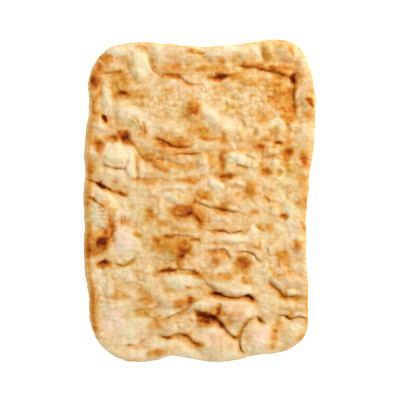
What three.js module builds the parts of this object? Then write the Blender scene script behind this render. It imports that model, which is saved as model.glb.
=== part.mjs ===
// A rectangular pizza base, baked flat on a tray as one piece of dough.
// It is a slab about 288 mm wide and 400 mm long with a rounded, puffed edge, a flat underside,
// and a top that rises in gas pillows and drops in the hollows that fingertips pressed before baking.
// Millimetres, +Z up, +Y towards the end that lay at the back of the oven. The origin is under the
// middle of the slab, on the surface that it rests on.

import * as THREE from "three";

// ---- driving dimensions ----

const LENGTH = 400;            // along Y, over the puffed edge
const WIDTH = 288;             // along X, over the puffed edge
const CRUMB_HEIGHT = 13.5;     // top of the plain crust between pillows and hollows
const WIDEST_HEIGHT = 7.5;     // where the edge bulges out furthest
const EDGE_ROUND = 9;          // how far the rounded edge reaches inwards
const RIM_RISE = 2.4;          // the edge bakes a little higher than the middle
const RIM_REACH = 30;          // how far in from the edge that rise fades out
const LOWEST_CRUST = 7;        // no hollow goes deeper than this above the underside
const FOOT_INSET = 7;          // how far the flat underside stays in from the widest line

const ACROSS = 32;             // cells of the top grid along X
const ALONG = 44;              // cells of the top grid along Y
const EDGE_STEPS = 6;          // rings over the rounded edge, from the underside to the top
const LINE_SAMPLES = 720;      // points that the outline is measured at

// The widest line of the slab seen from above, anticlockwise from the right-hand side, in shares of
// half the width and half the length. Each point is a bulge, a waist or the turn of a corner.
const OUTLINE = [
  [0.920, -0.240], [0.917, -0.100], [0.935, 0.055], [0.948, 0.170], [0.978, 0.300], [0.994, 0.470],
  [1.000, 0.640], [0.972, 0.755], [0.932, 0.860], [0.868, 0.948], [0.770, 0.992], [0.610, 1.000],
  [0.480, 0.985], [0.260, 0.966], [0.050, 0.956], [-0.200, 0.968], [-0.450, 0.984], [-0.660, 0.974],
  [-0.790, 0.946], [-0.885, 0.872], [-0.955, 0.770], [-0.958, 0.675], [-0.948, 0.600], [-0.972, 0.460],
  [-0.994, 0.300], [-0.984, 0.170], [-1.000, 0.020], [-0.990, -0.130], [-0.996, -0.280], [-0.990, -0.450],
  [-0.955, -0.560], [-0.948, -0.720], [-0.908, -0.822], [-0.830, -0.910], [-0.700, -0.976],
  [-0.560, -0.998], [-0.370, -0.985], [-0.250, -0.958], [-0.090, -0.976], [0.130, -1.000],
  [0.310, -0.986], [0.500, -0.953], [0.690, -0.936], [0.822, -0.902], [0.910, -0.830],
  [0.938, -0.728], [0.931, -0.625], [0.938, -0.540], [0.920, -0.385],
];

// Gas pillows: x, y, half width, half length, turn in degrees, rise.
const PILLOWS = [
  // along the back edge, from left to right
  [-113, 168, 17, 12, 15, 4.0], [-86, 182, 26, 11, -4, 4.5], [-72, 160, 12, 20, -8, 4.5],
  [-22, 172, 34, 11, 0, 4.0], [44, 178, 36, 10, 0, 3.5], [96, 182, 26, 14, 0, 3.5],
  // down the left-hand side
  [-118, 132, 11, 26, 0, 3.5], [-84, 112, 26, 8, 8, 4.0], [-120, 92, 15, 9, 0, 3.0],
  [-106, 50, 30, 25, -10, 7.0], [-119, -16, 22, 30, 12, 6.5], [-92, -55, 26, 18, 20, 3.5],
  [-96, -152, 32, 28, 0, 3.0],
  // down the middle
  [24, 108, 36, 9, -38, 4.0], [-9, 110, 14, 15, 30, 5.0], [-32, 76, 28, 8, -10, 4.5],
  [-50, 58, 30, 8, -20, 4.0], [-16, -10, 26, 10, -28, 5.0], [-30, -62, 24, 18, 0, 4.0],
  [20, -70, 17, 11, 0, 4.0], [56, -72, 17, 12, -20, 4.5], [-28, -100, 26, 11, -6, 3.5],
  // the folds near the front edge
  [6, -128, 22, 9, 12, 5.5], [47, -136, 22, 17, -10, 6.5], [18, -171, 28, 16, -28, 5.0],
  [70, -166, 18, 20, 8, 5.0], [-30, -181, 26, 10, 0, 4.0],
  // down the right-hand side
  [128, 132, 10, 30, 0, 3.5], [98, 88, 12, 12, 0, 4.0], [88, 58, 12, 11, 0, 4.0],
  [125, 72, 11, 26, 0, 3.0], [122, -4, 11, 12, 0, 3.0], [110, -60, 16, 22, 0, 2.5],
  [104, -92, 24, 14, 0, 3.5], [110, -131, 22, 9, 0, 3.5], [114, -162, 20, 14, 0, 4.0],
];

// Pressed hollows and the valleys between pillows: x, y, half width, half length, turn, depth.
const HOLLOWS = [
  [30, 153, 24, 7, 4, 4.5], [72, 165, 30, 6, -6, 3.5], [117, 136, 6, 32, 0, 4.5],
  [-94, 80, 16, 8, -20, 4.5], [-124, 68, 8, 10, 0, 3.5], [-112, 16, 30, 6, -28, 5.0],
  [-30, 68, 30, 5, -8, 3.5], [34, 30, 14, 8, 20, 4.0], [82, 37, 12, 7, -15, 4.0],
  [109, 60, 9, 9, 0, 3.5], [96, 71, 9, 6, 0, 3.0], [104, -19, 8, 7, 0, 3.0],
  [26, -12, 22, 7, -14, 3.5], [-40, -85, 16, 6, 8, 3.0], [-118, -76, 12, 8, 25, 3.0],
  [12, -142, 20, 9, -8, 6.0], [40, -118, 34, 5, -4, 5.0], [98, -112, 16, 5, -40, 3.5],
  [-30, -167, 26, 5, 2, 3.0], [-100, 150, 16, 16, 0, 3.0],
];

// ---- the shape of the top ----

// A smooth dome: 1 in the middle of a turned ellipse and 0 at its edge, (1 - d squared) squared.
function dome(x, y, [cx, cy, halfWidth, halfLength, turn]) {
  const a = THREE.MathUtils.degToRad(turn);
  const along = ((x - cx) * Math.cos(a) + (y - cy) * Math.sin(a)) / halfWidth;
  const across = (-(x - cx) * Math.sin(a) + (y - cy) * Math.cos(a)) / halfLength;
  const inside = Math.max(0, 1 - along * along - across * across);
  return inside * inside;
}

// Height of the top crust above the underside, with inset the distance in from the widest line.
function crustHeight(x, y, inset) {
  const rim = RIM_RISE * Math.max(0, 1 - inset / RIM_REACH);
  const risen = Math.max(...PILLOWS.map((pillow) => pillow[5] * dome(x, y, pillow)));
  const pressed = Math.max(...HOLLOWS.map((hollow) => hollow[5] * dome(x, y, hollow)));
  return Math.max(LOWEST_CRUST, CRUMB_HEIGHT + rim + risen - pressed);
}

// ---- lines seen from above ----

// A closed line round the origin as a function: the direction of a ray gives the point it crosses.
function lineByDirection(points) {
  const rays = points.map((p) => ({ angle: Math.atan2(p.y, p.x), radius: Math.hypot(p.x, p.y) }));
  rays.sort((a, b) => a.angle - b.angle);
  const [first, last] = [rays[0], rays[rays.length - 1]];
  rays.unshift({ angle: last.angle - 2 * Math.PI, radius: last.radius });
  rays.push({ angle: first.angle + 2 * Math.PI, radius: first.radius });
  return (x, y) => {
    const angle = Math.atan2(y, x);
    const after = rays.findIndex((ray) => ray.angle > angle);
    const [a, b] = [rays[after - 1], rays[after]];
    const share = (angle - a.angle) / (b.angle - a.angle);
    const radius = THREE.MathUtils.lerp(a.radius, b.radius, share);
    return new THREE.Vector3(radius * Math.cos(angle), radius * Math.sin(angle), 0);
  };
}

function widestLine() {
  const bends = OUTLINE.map(([x, y]) => new THREE.Vector3((x * WIDTH) / 2, (y * LENGTH) / 2, 0));
  const curve = new THREE.CatmullRomCurve3(bends, true, "centripetal");
  return lineByDirection(curve.getSpacedPoints(LINE_SAMPLES).slice(1));
}

// ---- the closed skin ----

// Cells round the rim of the top grid, anticlockwise from its front right corner.
function rimCells() {
  const cells = [];
  for (let j = 0; j < ALONG; j++) cells.push([ACROSS, j]);
  for (let i = ACROSS; i > 0; i--) cells.push([i, ALONG]);
  for (let j = ALONG; j > 0; j--) cells.push([0, j]);
  for (let i = 0; i < ACROSS; i++) cells.push([i, 0]);
  return cells;
}

// Where a grid cell lies in the square from -1 to 1.
const inSquare = ([i, j]) => [(2 * i) / ACROSS - 1, (2 * j) / ALONG - 1];

// Rings of points up over the rounded edge, from the flat underside to the rim of the top grid.
function edgeRings(cells) {
  const line = widestLine();
  const widest = cells.map((cell) => {
    const [s, t] = inSquare(cell);
    return line(s * WIDTH, t * LENGTH);
  });
  const inward = widest.map((_, i) => {
    const ahead = widest[(i + 1) % widest.length];
    const behind = widest[(i + widest.length - 1) % widest.length];
    const along = ahead.clone().sub(behind).normalize();
    return new THREE.Vector3(-along.y, along.x, 0);
  });
  const rings = [];
  for (let step = 0; step <= EDGE_STEPS; step++) {
    const angle = (step / EDGE_STEPS - 0.5) * Math.PI; // from straight down to straight up
    const inset = (angle < 0 ? FOOT_INSET : EDGE_ROUND) * (1 - Math.cos(angle));
    rings.push(widest.map((at, i) => {
      const p = at.clone().addScaledVector(inward[i], inset);
      const reach = angle < 0 ? WIDEST_HEIGHT : crustHeight(p.x, p.y, inset) - WIDEST_HEIGHT;
      return p.setZ(WIDEST_HEIGHT + reach * Math.sin(angle));
    }));
  }
  return rings;
}

// The closed skin: a fan for the underside, the edge rings, and a grid for the top, in which each
// square ring of the grid is laid on a copy of the rim, scaled towards the middle.
function slabSkin() {
  const cells = rimCells();
  const rings = edgeRings(cells);
  const points = rings.flat();
  const faces = [];
  const around = cells.length;

  const underside = points.push(new THREE.Vector3(0, 0, 0)) - 1;
  for (let i = 0; i < around; i++) faces.push(underside, (i + 1) % around, i);

  for (let ring = 0; ring < EDGE_STEPS; ring++) {
    for (let i = 0; i < around; i++) {
      const [a, b] = [ring * around + i, ring * around + ((i + 1) % around)];
      faces.push(a, b, b + around, a, b + around, a + around);
    }
  }

  const topRim = lineByDirection(rings[EDGE_STEPS]);
  const index = new Map(cells.map((cell, i) => [String(cell), EDGE_STEPS * around + i]));
  for (let j = 1; j < ALONG; j++) {
    for (let i = 1; i < ACROSS; i++) {
      const [s, t] = inSquare([i, j]);
      const rim = topRim(s * WIDTH, t * LENGTH);
      const p = rim.clone().multiplyScalar(Math.max(Math.abs(s), Math.abs(t)));
      const inset = EDGE_ROUND + p.distanceTo(rim);
      index.set(String([i, j]), points.push(p.setZ(crustHeight(p.x, p.y, inset))) - 1);
    }
  }
  const at = (i, j) => index.get(String([i, j]));
  for (let j = 0; j < ALONG; j++) {
    for (let i = 0; i < ACROSS; i++) {
      const [a, b, c, d] = [at(i, j), at(i + 1, j), at(i + 1, j + 1), at(i, j + 1)];
      // the diagonal runs towards the middle of the slab, so that no rounded corner folds over
      const towardsMiddle = (i < ACROSS / 2) === (j < ALONG / 2);
      if (towardsMiddle) faces.push(a, b, c, a, c, d);
      else faces.push(a, b, d, b, c, d);
    }
  }

  const skin = new THREE.BufferGeometry().setFromPoints(points);
  skin.setIndex(faces);
  return skin;
}

// Stretches the skin to the stated width and length exactly, and centres it over the origin.
function trimToSize(skin) {
  skin.computeBoundingBox();
  const size = skin.boundingBox.getSize(new THREE.Vector3());
  const middle = skin.boundingBox.getCenter(new THREE.Vector3());
  skin.translate(-middle.x, -middle.y, -skin.boundingBox.min.z);
  skin.scale(WIDTH / size.x, LENGTH / size.y, 1);
  skin.computeVertexNormals();
  return skin;
}

// ---- the part ----

const crust = new THREE.MeshStandardMaterial({ color: 0xe1b379, roughness: 0.85, metalness: 0 });
const slab = new THREE.Mesh(trimToSize(slabSkin()), crust);
slab.name = "pizza_base";

const pizzaBase = new THREE.Group();
pizzaBase.add(slab);

export default pizzaBase;
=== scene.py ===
# %% [markdown]
# # A rectangular pizza base
# One flat loaf of pizza dough, stretched on a tray, pressed with fingertips and baked. It is a single
# natural thing, so it is a single skin: a puffed top full of gas pillows, folds and finger hollows, a
# rounded edge, and the flat side that lay on the tray. All its detail is worked out as arrays of
# numbers, a whole surface at a time, and the colour is worked out from the same shapes: toasted and
# floury patches, plus painted light and painted shade, paler on what stands up and darker in creases,
# in valleys and on slopes that face away from the lamp.

import bpy
import numpy as np
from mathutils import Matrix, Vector


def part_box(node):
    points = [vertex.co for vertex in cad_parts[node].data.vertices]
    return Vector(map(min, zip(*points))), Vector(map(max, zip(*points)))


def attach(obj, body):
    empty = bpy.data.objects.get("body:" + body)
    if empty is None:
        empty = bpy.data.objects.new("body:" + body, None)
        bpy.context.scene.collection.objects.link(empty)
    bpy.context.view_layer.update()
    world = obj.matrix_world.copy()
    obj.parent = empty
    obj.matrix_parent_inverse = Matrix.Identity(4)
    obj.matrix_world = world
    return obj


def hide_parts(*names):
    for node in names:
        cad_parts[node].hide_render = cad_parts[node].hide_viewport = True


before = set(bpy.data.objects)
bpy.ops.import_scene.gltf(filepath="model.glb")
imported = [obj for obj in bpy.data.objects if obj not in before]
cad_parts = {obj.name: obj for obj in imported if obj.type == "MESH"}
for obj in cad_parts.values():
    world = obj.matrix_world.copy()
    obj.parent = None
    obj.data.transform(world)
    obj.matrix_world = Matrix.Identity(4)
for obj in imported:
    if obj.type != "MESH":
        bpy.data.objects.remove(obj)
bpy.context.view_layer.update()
DESIGN_LENGTH = 400
low, high = (np.array(corner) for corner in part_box("pizza_base"))
MM = (high[1] - low[1]) / DESIGN_LENGTH
HALF_WIDTH = (high[0] - low[0]) / 2 / MM
HALF_LENGTH = (high[1] - low[1]) / 2 / MM
print("the slab is", round(2 * HALF_WIDTH, 1), "by", round(2 * HALF_LENGTH, 1), "mm")

# %% [markdown]
# ## The outline
# The outline is the widest line round the baked edge. It could be drawn again as a curve, but the fixed
# model already holds it, as the ring of corners at the height where the edge bulges furthest, and one
# source keeps both models in step. It is read as a radius for each direction seen from the middle, and
# rounded off a little with a running mean, because the fixed model has straight facets and dough has none.

# %% Outline helpers
def ring_mean(values, reach):
    """The running mean round a closed ring: the average of each value and its neighbours within reach."""
    shifted = [np.roll(values, k, axis=0) for k in range(-reach, reach + 1)]
    return sum(shifted) / len(shifted)


def by_direction(x, y):
    """A closed line round the middle as a function: direction in radians in, distance out."""
    angle = np.arctan2(y, x)
    order = np.argsort(angle)
    angle, radius = angle[order], np.hypot(x, y)[order]
    return lambda a: np.interp(a, angle, radius, period=2 * np.pi)


def inward(line):
    """Unit normals of a closed anticlockwise line, pointing to its inside."""
    along = np.roll(line, -3, axis=0) - np.roll(line, 3, axis=0)
    along /= np.linalg.norm(along, axis=1, keepdims=True)
    return np.stack([-along[:, 1], along[:, 0]], axis=1)


# %% Read the outline
WIDEST_HEIGHT = 7.5
SAME_HEIGHT = 0.2
DIRECTIONS = 1440
ROUNDING_OFF = 5

fixed_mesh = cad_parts["pizza_base"].data
corners = np.empty(len(fixed_mesh.vertices) * 3, np.float32)
fixed_mesh.vertices.foreach_get("co", corners)
corners = corners.reshape(-1, 3) / MM
widest = corners[abs(corners[:, 2] - WIDEST_HEIGHT) < SAME_HEIGHT]
raw_radius = by_direction(widest[:, 0], widest[:, 1])
turn = np.linspace(-np.pi, np.pi, DIRECTIONS, endpoint=False)
radius = ring_mean(ring_mean(raw_radius(turn), ROUNDING_OFF), ROUNDING_OFF)
outline = np.stack([radius * np.cos(turn), radius * np.sin(turn)], axis=1)
radius_out = by_direction(outline[:, 0], outline[:, 1])
print("the outline has", len(widest), "corners in the fixed model")


def line_inside(inset):
    """The outline moved inwards by inset, as a distance for each direction."""
    line = outline + inset * inward(outline)
    return by_direction(line[:, 0], line[:, 1])


def inside_edge(x, y):
    """How far inside the outline a point lies, measured along the ray from the middle."""
    return radius_out(np.arctan2(y, x)) - np.hypot(x, y)


# %% [markdown]
# ## Lumps without a pattern
# Dough has no repeats, so most of its fine shape is noise. A noise texture could displace the mesh, but
# the colour has to follow the same lumps, so the noise is written out here as sums on arrays. This is
# gradient noise: every corner of an unseen cubic lattice gets a random direction, and each point blends
# the slopes of its eight corners. The same noise added again at half the size and about half the height
# gives lumps on lumps.

# %% Noise helpers
def scramble(i, j, k, seed):
    """32 random bits for three whole numbers. Each is multiplied by a large number and they are joined by
    exclusive or, then two rounds of shift and multiply mix the high bits with the low ones."""
    bits = (i * 73856093) ^ (j * 19349663) ^ (k * 83492791) ^ (seed * 2654435761)
    bits = (bits ^ (bits >> 13)) * 1274126177 & 0xFFFFFFFF
    return (bits ^ (bits >> 16)) * 2246822519 & 0xFFFFFFFF


def lattice_slope(i, j, k, dx, dy, dz, seed):
    """The slope that lattice corner (i, j, k) gives to a point dx, dy, dz away: a dot product with a
    random unit vector. Half of the corner's bits give its height, the other half its direction round."""
    bits = scramble(i, j, k, seed)
    up = (bits & 0xFFFF) / 32768.0 - 1
    angle = (bits >> 16) * (2 * np.pi / 65536)
    flat = np.sqrt(1 - up * up)
    return flat * np.cos(angle) * dx + flat * np.sin(angle) * dy + up * dz


def noise(x, y, size, seed, z=0.0):
    """Gradient noise between about -1 and 1, with lumps about size across: slopes from the eight
    nearest lattice corners, blended by 6t^5 - 15t^4 + 10t^3 along each direction."""
    p = [np.asarray(v, float) / size + 100 for v in (x, y, z)]
    cell = [np.floor(v).astype(np.int64) for v in p]
    d = [v - c for v, c in zip(p, cell)]
    w = [t ** 3 * (t * (6 * t - 15) + 10) for t in d]
    total = 0
    for a in (0, 1):
        for b in (0, 1):
            for c in (0, 1):
                weight = (w[0] if a else 1 - w[0]) * (w[1] if b else 1 - w[1]) * (w[2] if c else 1 - w[2])
                total = total + weight * lattice_slope(
                    cell[0] + a, cell[1] + b, cell[2] + c, d[0] - a, d[1] - b, d[2] - c, seed)
    return 1.6 * total


def lumps(x, y, size, layers, seed, z=0.0):
    """Several layers of noise, each half the size and 0.55 times the height of the one before."""
    return sum(0.55 ** n * noise(x, y, size / 2 ** n, seed + n, z) for n in range(layers))


def ramp(value, start, end):
    """0 below start, 1 above end, and a smooth step 3t^2 - 2t^3 between them."""
    t = np.clip((value - start) / (end - start), 0, 1)
    return t * t * (3 - 2 * t)


def shaken(x, y, layers, start=None):
    """The points x, y, or the points start, moved sideways by noise read at x, y. Each layer is an
    amount, a size and the two seeds that move x and y. It turns a neat shape into an uneven one."""
    moved_x, moved_y = start or (x, y)
    for amount, size, seed_x, seed_y in layers:
        moved_x = moved_x + amount * noise(x, y, size, seed_x)
        moved_y = moved_y + amount * noise(x, y, size, seed_y)
    return moved_x, moved_y


spread = noise(*np.meshgrid(np.arange(90.0), np.arange(90.0)), 17, 11)
print("the noise runs from", spread.min().round(2), "to", spread.max().round(2))

# %% [markdown]
# ## Pillows and hollows
# Where gas gathered under the skin, the dough baked into pillows, and where a fingertip or the weight
# of the dough held it down, it stayed low. They could be sculpted with a brush, but as rows of numbers
# each can be read, moved and used again for the colour. Both are ellipses. Pillows push against each
# other rather than pile up, so the highest one wins at each point, with the corner between two of them
# rounded a little. That leaves the soft valleys that real dough has between its pillows.

# %% Pillow and hollow helpers
SOFT_MEETING = 0.8


def ellipse_reach(x, y, middle_x, middle_y, half_width, half_length, turned=0):
    """Squared distance from the middle of an ellipse, which may be turned by some degrees: 0 in its
    middle and 1 at its edge."""
    a = np.radians(turned)
    along = ((x - middle_x) * np.cos(a) + (y - middle_y) * np.sin(a)) / half_width
    across = ((y - middle_y) * np.cos(a) - (x - middle_x) * np.sin(a)) / half_length
    return along * along + across * across


def dome(x, y, place, power):
    """(1 - squared distance) to a power: 1 in the middle of an ellipse, 0 from its edge outwards."""
    return np.clip(1 - ellipse_reach(x, y, *place), 0, None) ** power


def larger(a, b):
    """The larger of two surfaces, with the corner where they meet rounded. Where they are less than
    SOFT_MEETING apart, a quarter of it is added, times the square of the overlap, which is a share."""
    overlap = np.clip(SOFT_MEETING - abs(a - b), 0, None) / SOFT_MEETING
    return np.maximum(a, b) + overlap * overlap * SOFT_MEETING / 4


def pile(x, y, rows, power):
    """The upper surface of many domes, each row being a height followed by a place."""
    top = np.zeros_like(x)
    for height, *place in rows:
        top = larger(top, height * dome(x, y, place, power))
    return top - SOFT_MEETING / 4


# %% Pillows
# height, x, y, half width, half length, and the turn in degrees where there is one
PILLOWS = [
    # the back edge, left to right
    (3.2, -98, 185, 27, 15, 8), (3.2, -110, 168, 17, 12, -5), (4.6, -74, 168, 18, 27, 10),
    (2.4, -48, 182, 15, 17), (3.8, -22, 182, 36, 18), (3.6, 30, 185, 36, 18), (3.6, 58, 184, 22, 17),
    (3.4, 86, 184, 9, 16), (4.6, 107, 184, 22, 15, -20),
    # the back third
    (3.6, -115, 131, 10, 27), (4.0, -86, 106, 33, 16, -22), (4.2, -72, 97, 16, 11, -30),
    (3.4, -122, 92, 15, 9), (1.6, -83, 98, 8, 5, -40), (1.4, -73, 92, 4, 8), (2.2, -38, 88, 26, 8, -6),
    (5.0, -9, 113, 14, 17, 15), (4.0, 17, 104, 34, 14, -40), (2.4, 59, 148, 15, 10), (2.4, 86, 152, 12, 8),
    (2.8, 101, 136, 13, 9), (4.8, 97, 88, 13, 13), (1.8, 63, 82, 8, 12), (3.6, 52, 80, 12, 14),
    (2.8, 73, 88, 8, 10), (2.8, 83, 78, 8, 9), (2.6, 10, 68, 22, 9, 6),
    # the left-hand side
    (5.6, -107, 55, 34, 23, -4), (3.6, -109, 34, 32, 15), (5.0, -85, 44, 8, 22, 4),
    (3.6, -73, 40, 7, 17, 4), (6.8, -118, -12, 20, 27, 12), (4.4, -121, -52, 20, 19),
    (3.6, -90, -50, 23, 24),
    # the middle
    (3.6, -45, 63, 34, 12, -14), (3.0, -46, 42, 15, 8, -8), (3.0, -60, 13, 29, 12), (2.8, -28, 17, 27, 7),
    (3.2, -28, 4, 25, 10, -16), (4.8, -30, -62, 21, 20), (3.8, 18, 22, 13, 11), (2.8, 8, 45, 17, 14),
    (1.8, 22, -19, 24, 11, -18), (2.8, 43, -1, 19, 9, -8), (3.6, 42, -47, 26, 9), (3.6, 22, -73, 17, 12),
    # the right-hand side
    (3.6, 128, 160, 11, 25, 8), (3.8, 131, 124, 9, 27), (3.2, 128, 84, 12, 20), (3.8, 46, 55, 16, 10, -10),
    (3.6, 66, 48, 13, 11, -20), (4.4, 88, 61, 13, 10), (2.8, 93, 46, 8, 8), (3.2, 64, 17, 10, 13),
    (2.8, 45, 22, 15, 8), (2.8, 105, 22, 19, 10), (2.2, 86, 18, 12, 10), (2.4, 108, -4, 13, 9),
    (3.4, 122, 3, 9, 10), (2.4, 92, -13, 12, 14), (2.2, 116, -30, 16, 18), (3.0, 65, -38, 11, 13),
    (2.8, 67, -54, 10, 8), (2.4, 88, -54, 12, 16), (1.8, 78, -54, 8, 12), (3.0, 121, -55, 9, 12),
    (2.4, 82, -84, 14, 18), (2.6, 32, -85, 15, 11), (3.8, 108, -98, 23, 16),
    # the front edge
    (3.6, -25, -99, 26, 14, -3), (4.2, -34, -123, 25, 12, 6), (3.0, -108, -130, 20, 27),
    (2.4, -88, -160, 28, 28), (2.8, -35, -155, 23, 10, 8), (4.0, -40, -185, 33, 18, 4),
    (2.8, -85, -193, 28, 17), (2.0, -102, -90, 22, 13), (4.4, 40, -102, 32, 15, -8),
    (6.2, 45, -139, 30, 22, -8), (5.6, 3, -128, 24, 12, 8), (5.2, 17, -174, 30, 22, -14),
    (5.0, 77, -171, 27, 29), (3.0, 85, -130, 19, 20), (4.0, 111, -131, 21, 10), (3.8, 116, -169, 22, 24),
]
print(len(PILLOWS), "pillows")

# %% Hollows
# depth, x, y, half width, half length, turn
HOLLOWS = [
    (2.4, -97, 148, 10, 18), (1.6, -95, 134, 8, 5), (3.4, -118, 102, 6, 5, -30), (4.4, -92, 80, 11, 12),
    (2.2, -108, 79, 9, 5), (3.4, -124, 69, 8, 10, 15), (5.0, 24, 153, 15, 8, 10), (4.0, 115, 150, 7, 11),
    (3.0, 116, 128, 6, 26), (3.4, 20, -115, 14, 6, -8), (2.6, 61, -119, 10, 5, -20), (2.0, -34, 156, 16, 7),
    (3.0, 28, 46, 6, 16), (4.4, 34, 30, 12, 6, 12), (4.0, 83, 36, 10, 8, -15), (4.0, 108, 59, 9, 9),
    (3.2, 96, 72, 9, 5), (3.4, 104, -19, 7, 7), (2.6, 28, -8, 15, 6, -12), (2.6, -20, -70, 9, 9),
    (3.2, -38, -85, 13, 5, 8), (3.2, -119, -77, 10, 6, 20), (6.4, 9, -144, 18, 9, -12),
    (2.2, 134, 124, 5, 5), (2.4, 127, 51, 7, 10), (3.0, 56, -76, 13, 13), (1.6, 25, 175, 6, 8),
    (1.8, 77, 184, 4, 10), (2.6, -95, 9, 11, 5, -20), (1.6, -68, 188, 7, 5), (1.8, -14, 25, 8, 5),
    (1.4, -84, 26, 9, 5), (2.0, -72, 90, 4, 6), (1.8, -67, 85, 5, 5), (1.8, -62, -14, 9, 8),
    (1.2, -78, -43, 8, 4, -10), (1.8, 53, 42, 8, 3, -10), (1.8, 98, 35, 5, 5), (1.2, 48, 19, 6, 3, -10),
    (1.6, 84, 2, 5, 5), (1.4, 66, -13, 6, 6), (1.2, 78, -14, 4, 4), (1.8, 105, -64, 10, 7),
    (1.6, -36, -109, 6, 5), (1.8, -64, -121, 8, 6), (1.6, 42, -162, 8, 5), (2.6, 75, -147, 6, 5, -45),
    (1.6, 93, -160, 5, 4), (2.0, 5, 85, 9, 7), (2.2, 28, 80, 6, 10), (2.4, 75, 67, 10, 5),
    (1.4, 125, 85, 5, 4), (1.2, 134, 84, 4, 4), (1.4, 131, 76, 4, 4),
]
print(len(HOLLOWS), "hollows")

# %% [markdown]
# ## Creases, folds and ridges
# Where one pillow leans over the next, the skin folds: it drops steeply from the higher side into a
# narrow crease and climbs gently out on the other. Cutting them into the mesh would need a knife and
# much patience, while a formula beside a path does all of them the same way. A crease is a smooth path
# with its higher side on the left of someone walking along it. Its section has a lip that bulges on the
# high side and a groove at the path, and the lip is also pushed sideways, so that a deep fold really
# hangs over its crease. The dark line along a crease and the browner band on its low side are painted
# shade. A ridge is the opposite: skin that was pinched up into a thin raised line, which is mostly painted
# paler than the crust beside it, as a painted highlight.

# %% Path helpers
def smooth_path(points, per_span=6):
    """A Catmull-Rom curve through the points: on each span, the cubic whose slope at each point is
    half the step between that point's neighbours."""
    p = np.array(points, float)
    p = np.vstack([2 * p[0] - p[1], p, 2 * p[-1] - p[-2]])
    t = np.linspace(0, 1, per_span, endpoint=False)[:, None]
    spans = [
        0.5 * (2 * b + (c - a) * t + (2 * a - 5 * b + 4 * c - d) * t ** 2 + (3 * b - a - 3 * c + d) * t ** 3)
        for a, b, c, d in zip(p[:-3], p[1:-2], p[2:-1], p[3:])]
    return np.vstack(spans + [p[-2][None]])


def near_path(x, y, path, margin):
    """True for the points inside the upright box round a path, widened by margin on every side."""
    low_x, low_y = path.min(axis=0) - margin
    high_x, high_y = path.max(axis=0) + margin
    return (x > low_x) & (x < high_x) & (y > low_y) & (y < high_y)


def beside_path(x, y, path):
    """Where points lie beside a path: signed distance from it, left being positive, the share of its
    length walked from 0 to 1, and the unit vector that points left from the nearest stretch."""
    step = np.diff(path, axis=0)
    length = np.linalg.norm(step, axis=1)
    walked = np.concatenate([[0], np.cumsum(length)]) / length.sum()
    near = np.full(x.shape, np.inf)
    side, share, left_x, left_y = (np.zeros_like(x) for _ in range(4))
    for n in range(len(step)):
        ux, uy = step[n] / length[n]
        rx, ry = x - path[n, 0], y - path[n, 1]
        t = np.clip(rx * ux + ry * uy, 0, length[n])
        away = np.hypot(rx - t * ux, ry - t * uy)
        closer = away < near
        near = np.where(closer, away, near)
        side = np.where(closer, np.sign(ry * ux - rx * uy), side)
        share = np.where(closer, walked[n] + t / length.sum(), share)
        left_x = np.where(closer, -uy, left_x)
        left_y = np.where(closer, ux, left_y)
    return side * near, share, left_x, left_y


# %% Crease and ridge helpers
def crease(x, y, points, depth, width, lip, reach, hang):
    """Height, sideways push, and the two painted shades of one crease. Its section is a groove,
    exp(-(s / width)^2) times depth and nearly three times as wide on its low side, plus a lip that rises
    over a fifth of reach and fades out at reach. A painted dark line follows the groove's middle, a band
    of painted shade lies on its low side, and everything fades over the first and the last fifth of the path."""
    path = smooth_path(points)
    inside = near_path(x, y, path, reach + 4 * width)
    near_x, near_y = x[inside], y[inside]
    side, share, left_x, left_y = beside_path(near_x, near_y, path)
    width = width * (1 + 0.4 * noise(near_x, near_y, 11, 131))
    fade = ramp(share, 0, 0.2) * (1 - ramp(share, 0.8, 1))
    groove = np.exp(-(side / np.where(side > 0, 0.8 * width, 2.2 * width)) ** 2)
    bulge = ramp(side / reach, 0, 0.22) * (1 - ramp(side / reach, 0.25, 1))
    lean = hang * fade * np.exp(-((side - 0.9 * width) / (0.9 * width)) ** 2)
    line = np.exp(-((side + 0.1 * width) / (0.8 * width)) ** 2)
    low_side_shade_width = np.where(side > -0.6 * width, 1.3, 2.0)
    low_side_shade = np.exp(-((side + 0.6 * width) / low_side_shade_width / width) ** 2)
    found = np.zeros((5, *x.shape))
    found[:, inside] = [fade * (lip * bulge - depth * groove), -left_x * lean, -left_y * lean,
                        fade * line, fade * low_side_shade]
    return found


def ridge(x, y, points, width):
    """A raised line along a path, from 0 to 1: exp(-(s / width)^2) across it, fading over the first and
    the last quarter."""
    path = smooth_path(points)
    inside = near_path(x, y, path, 3 * width)
    side, share, _, _ = beside_path(x[inside], y[inside], path)
    raised = np.zeros_like(x)
    raised[inside] = ramp(share, 0, 0.25) * (1 - ramp(share, 0.75, 1)) * np.exp(-(side / width) ** 2)
    return raised
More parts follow.
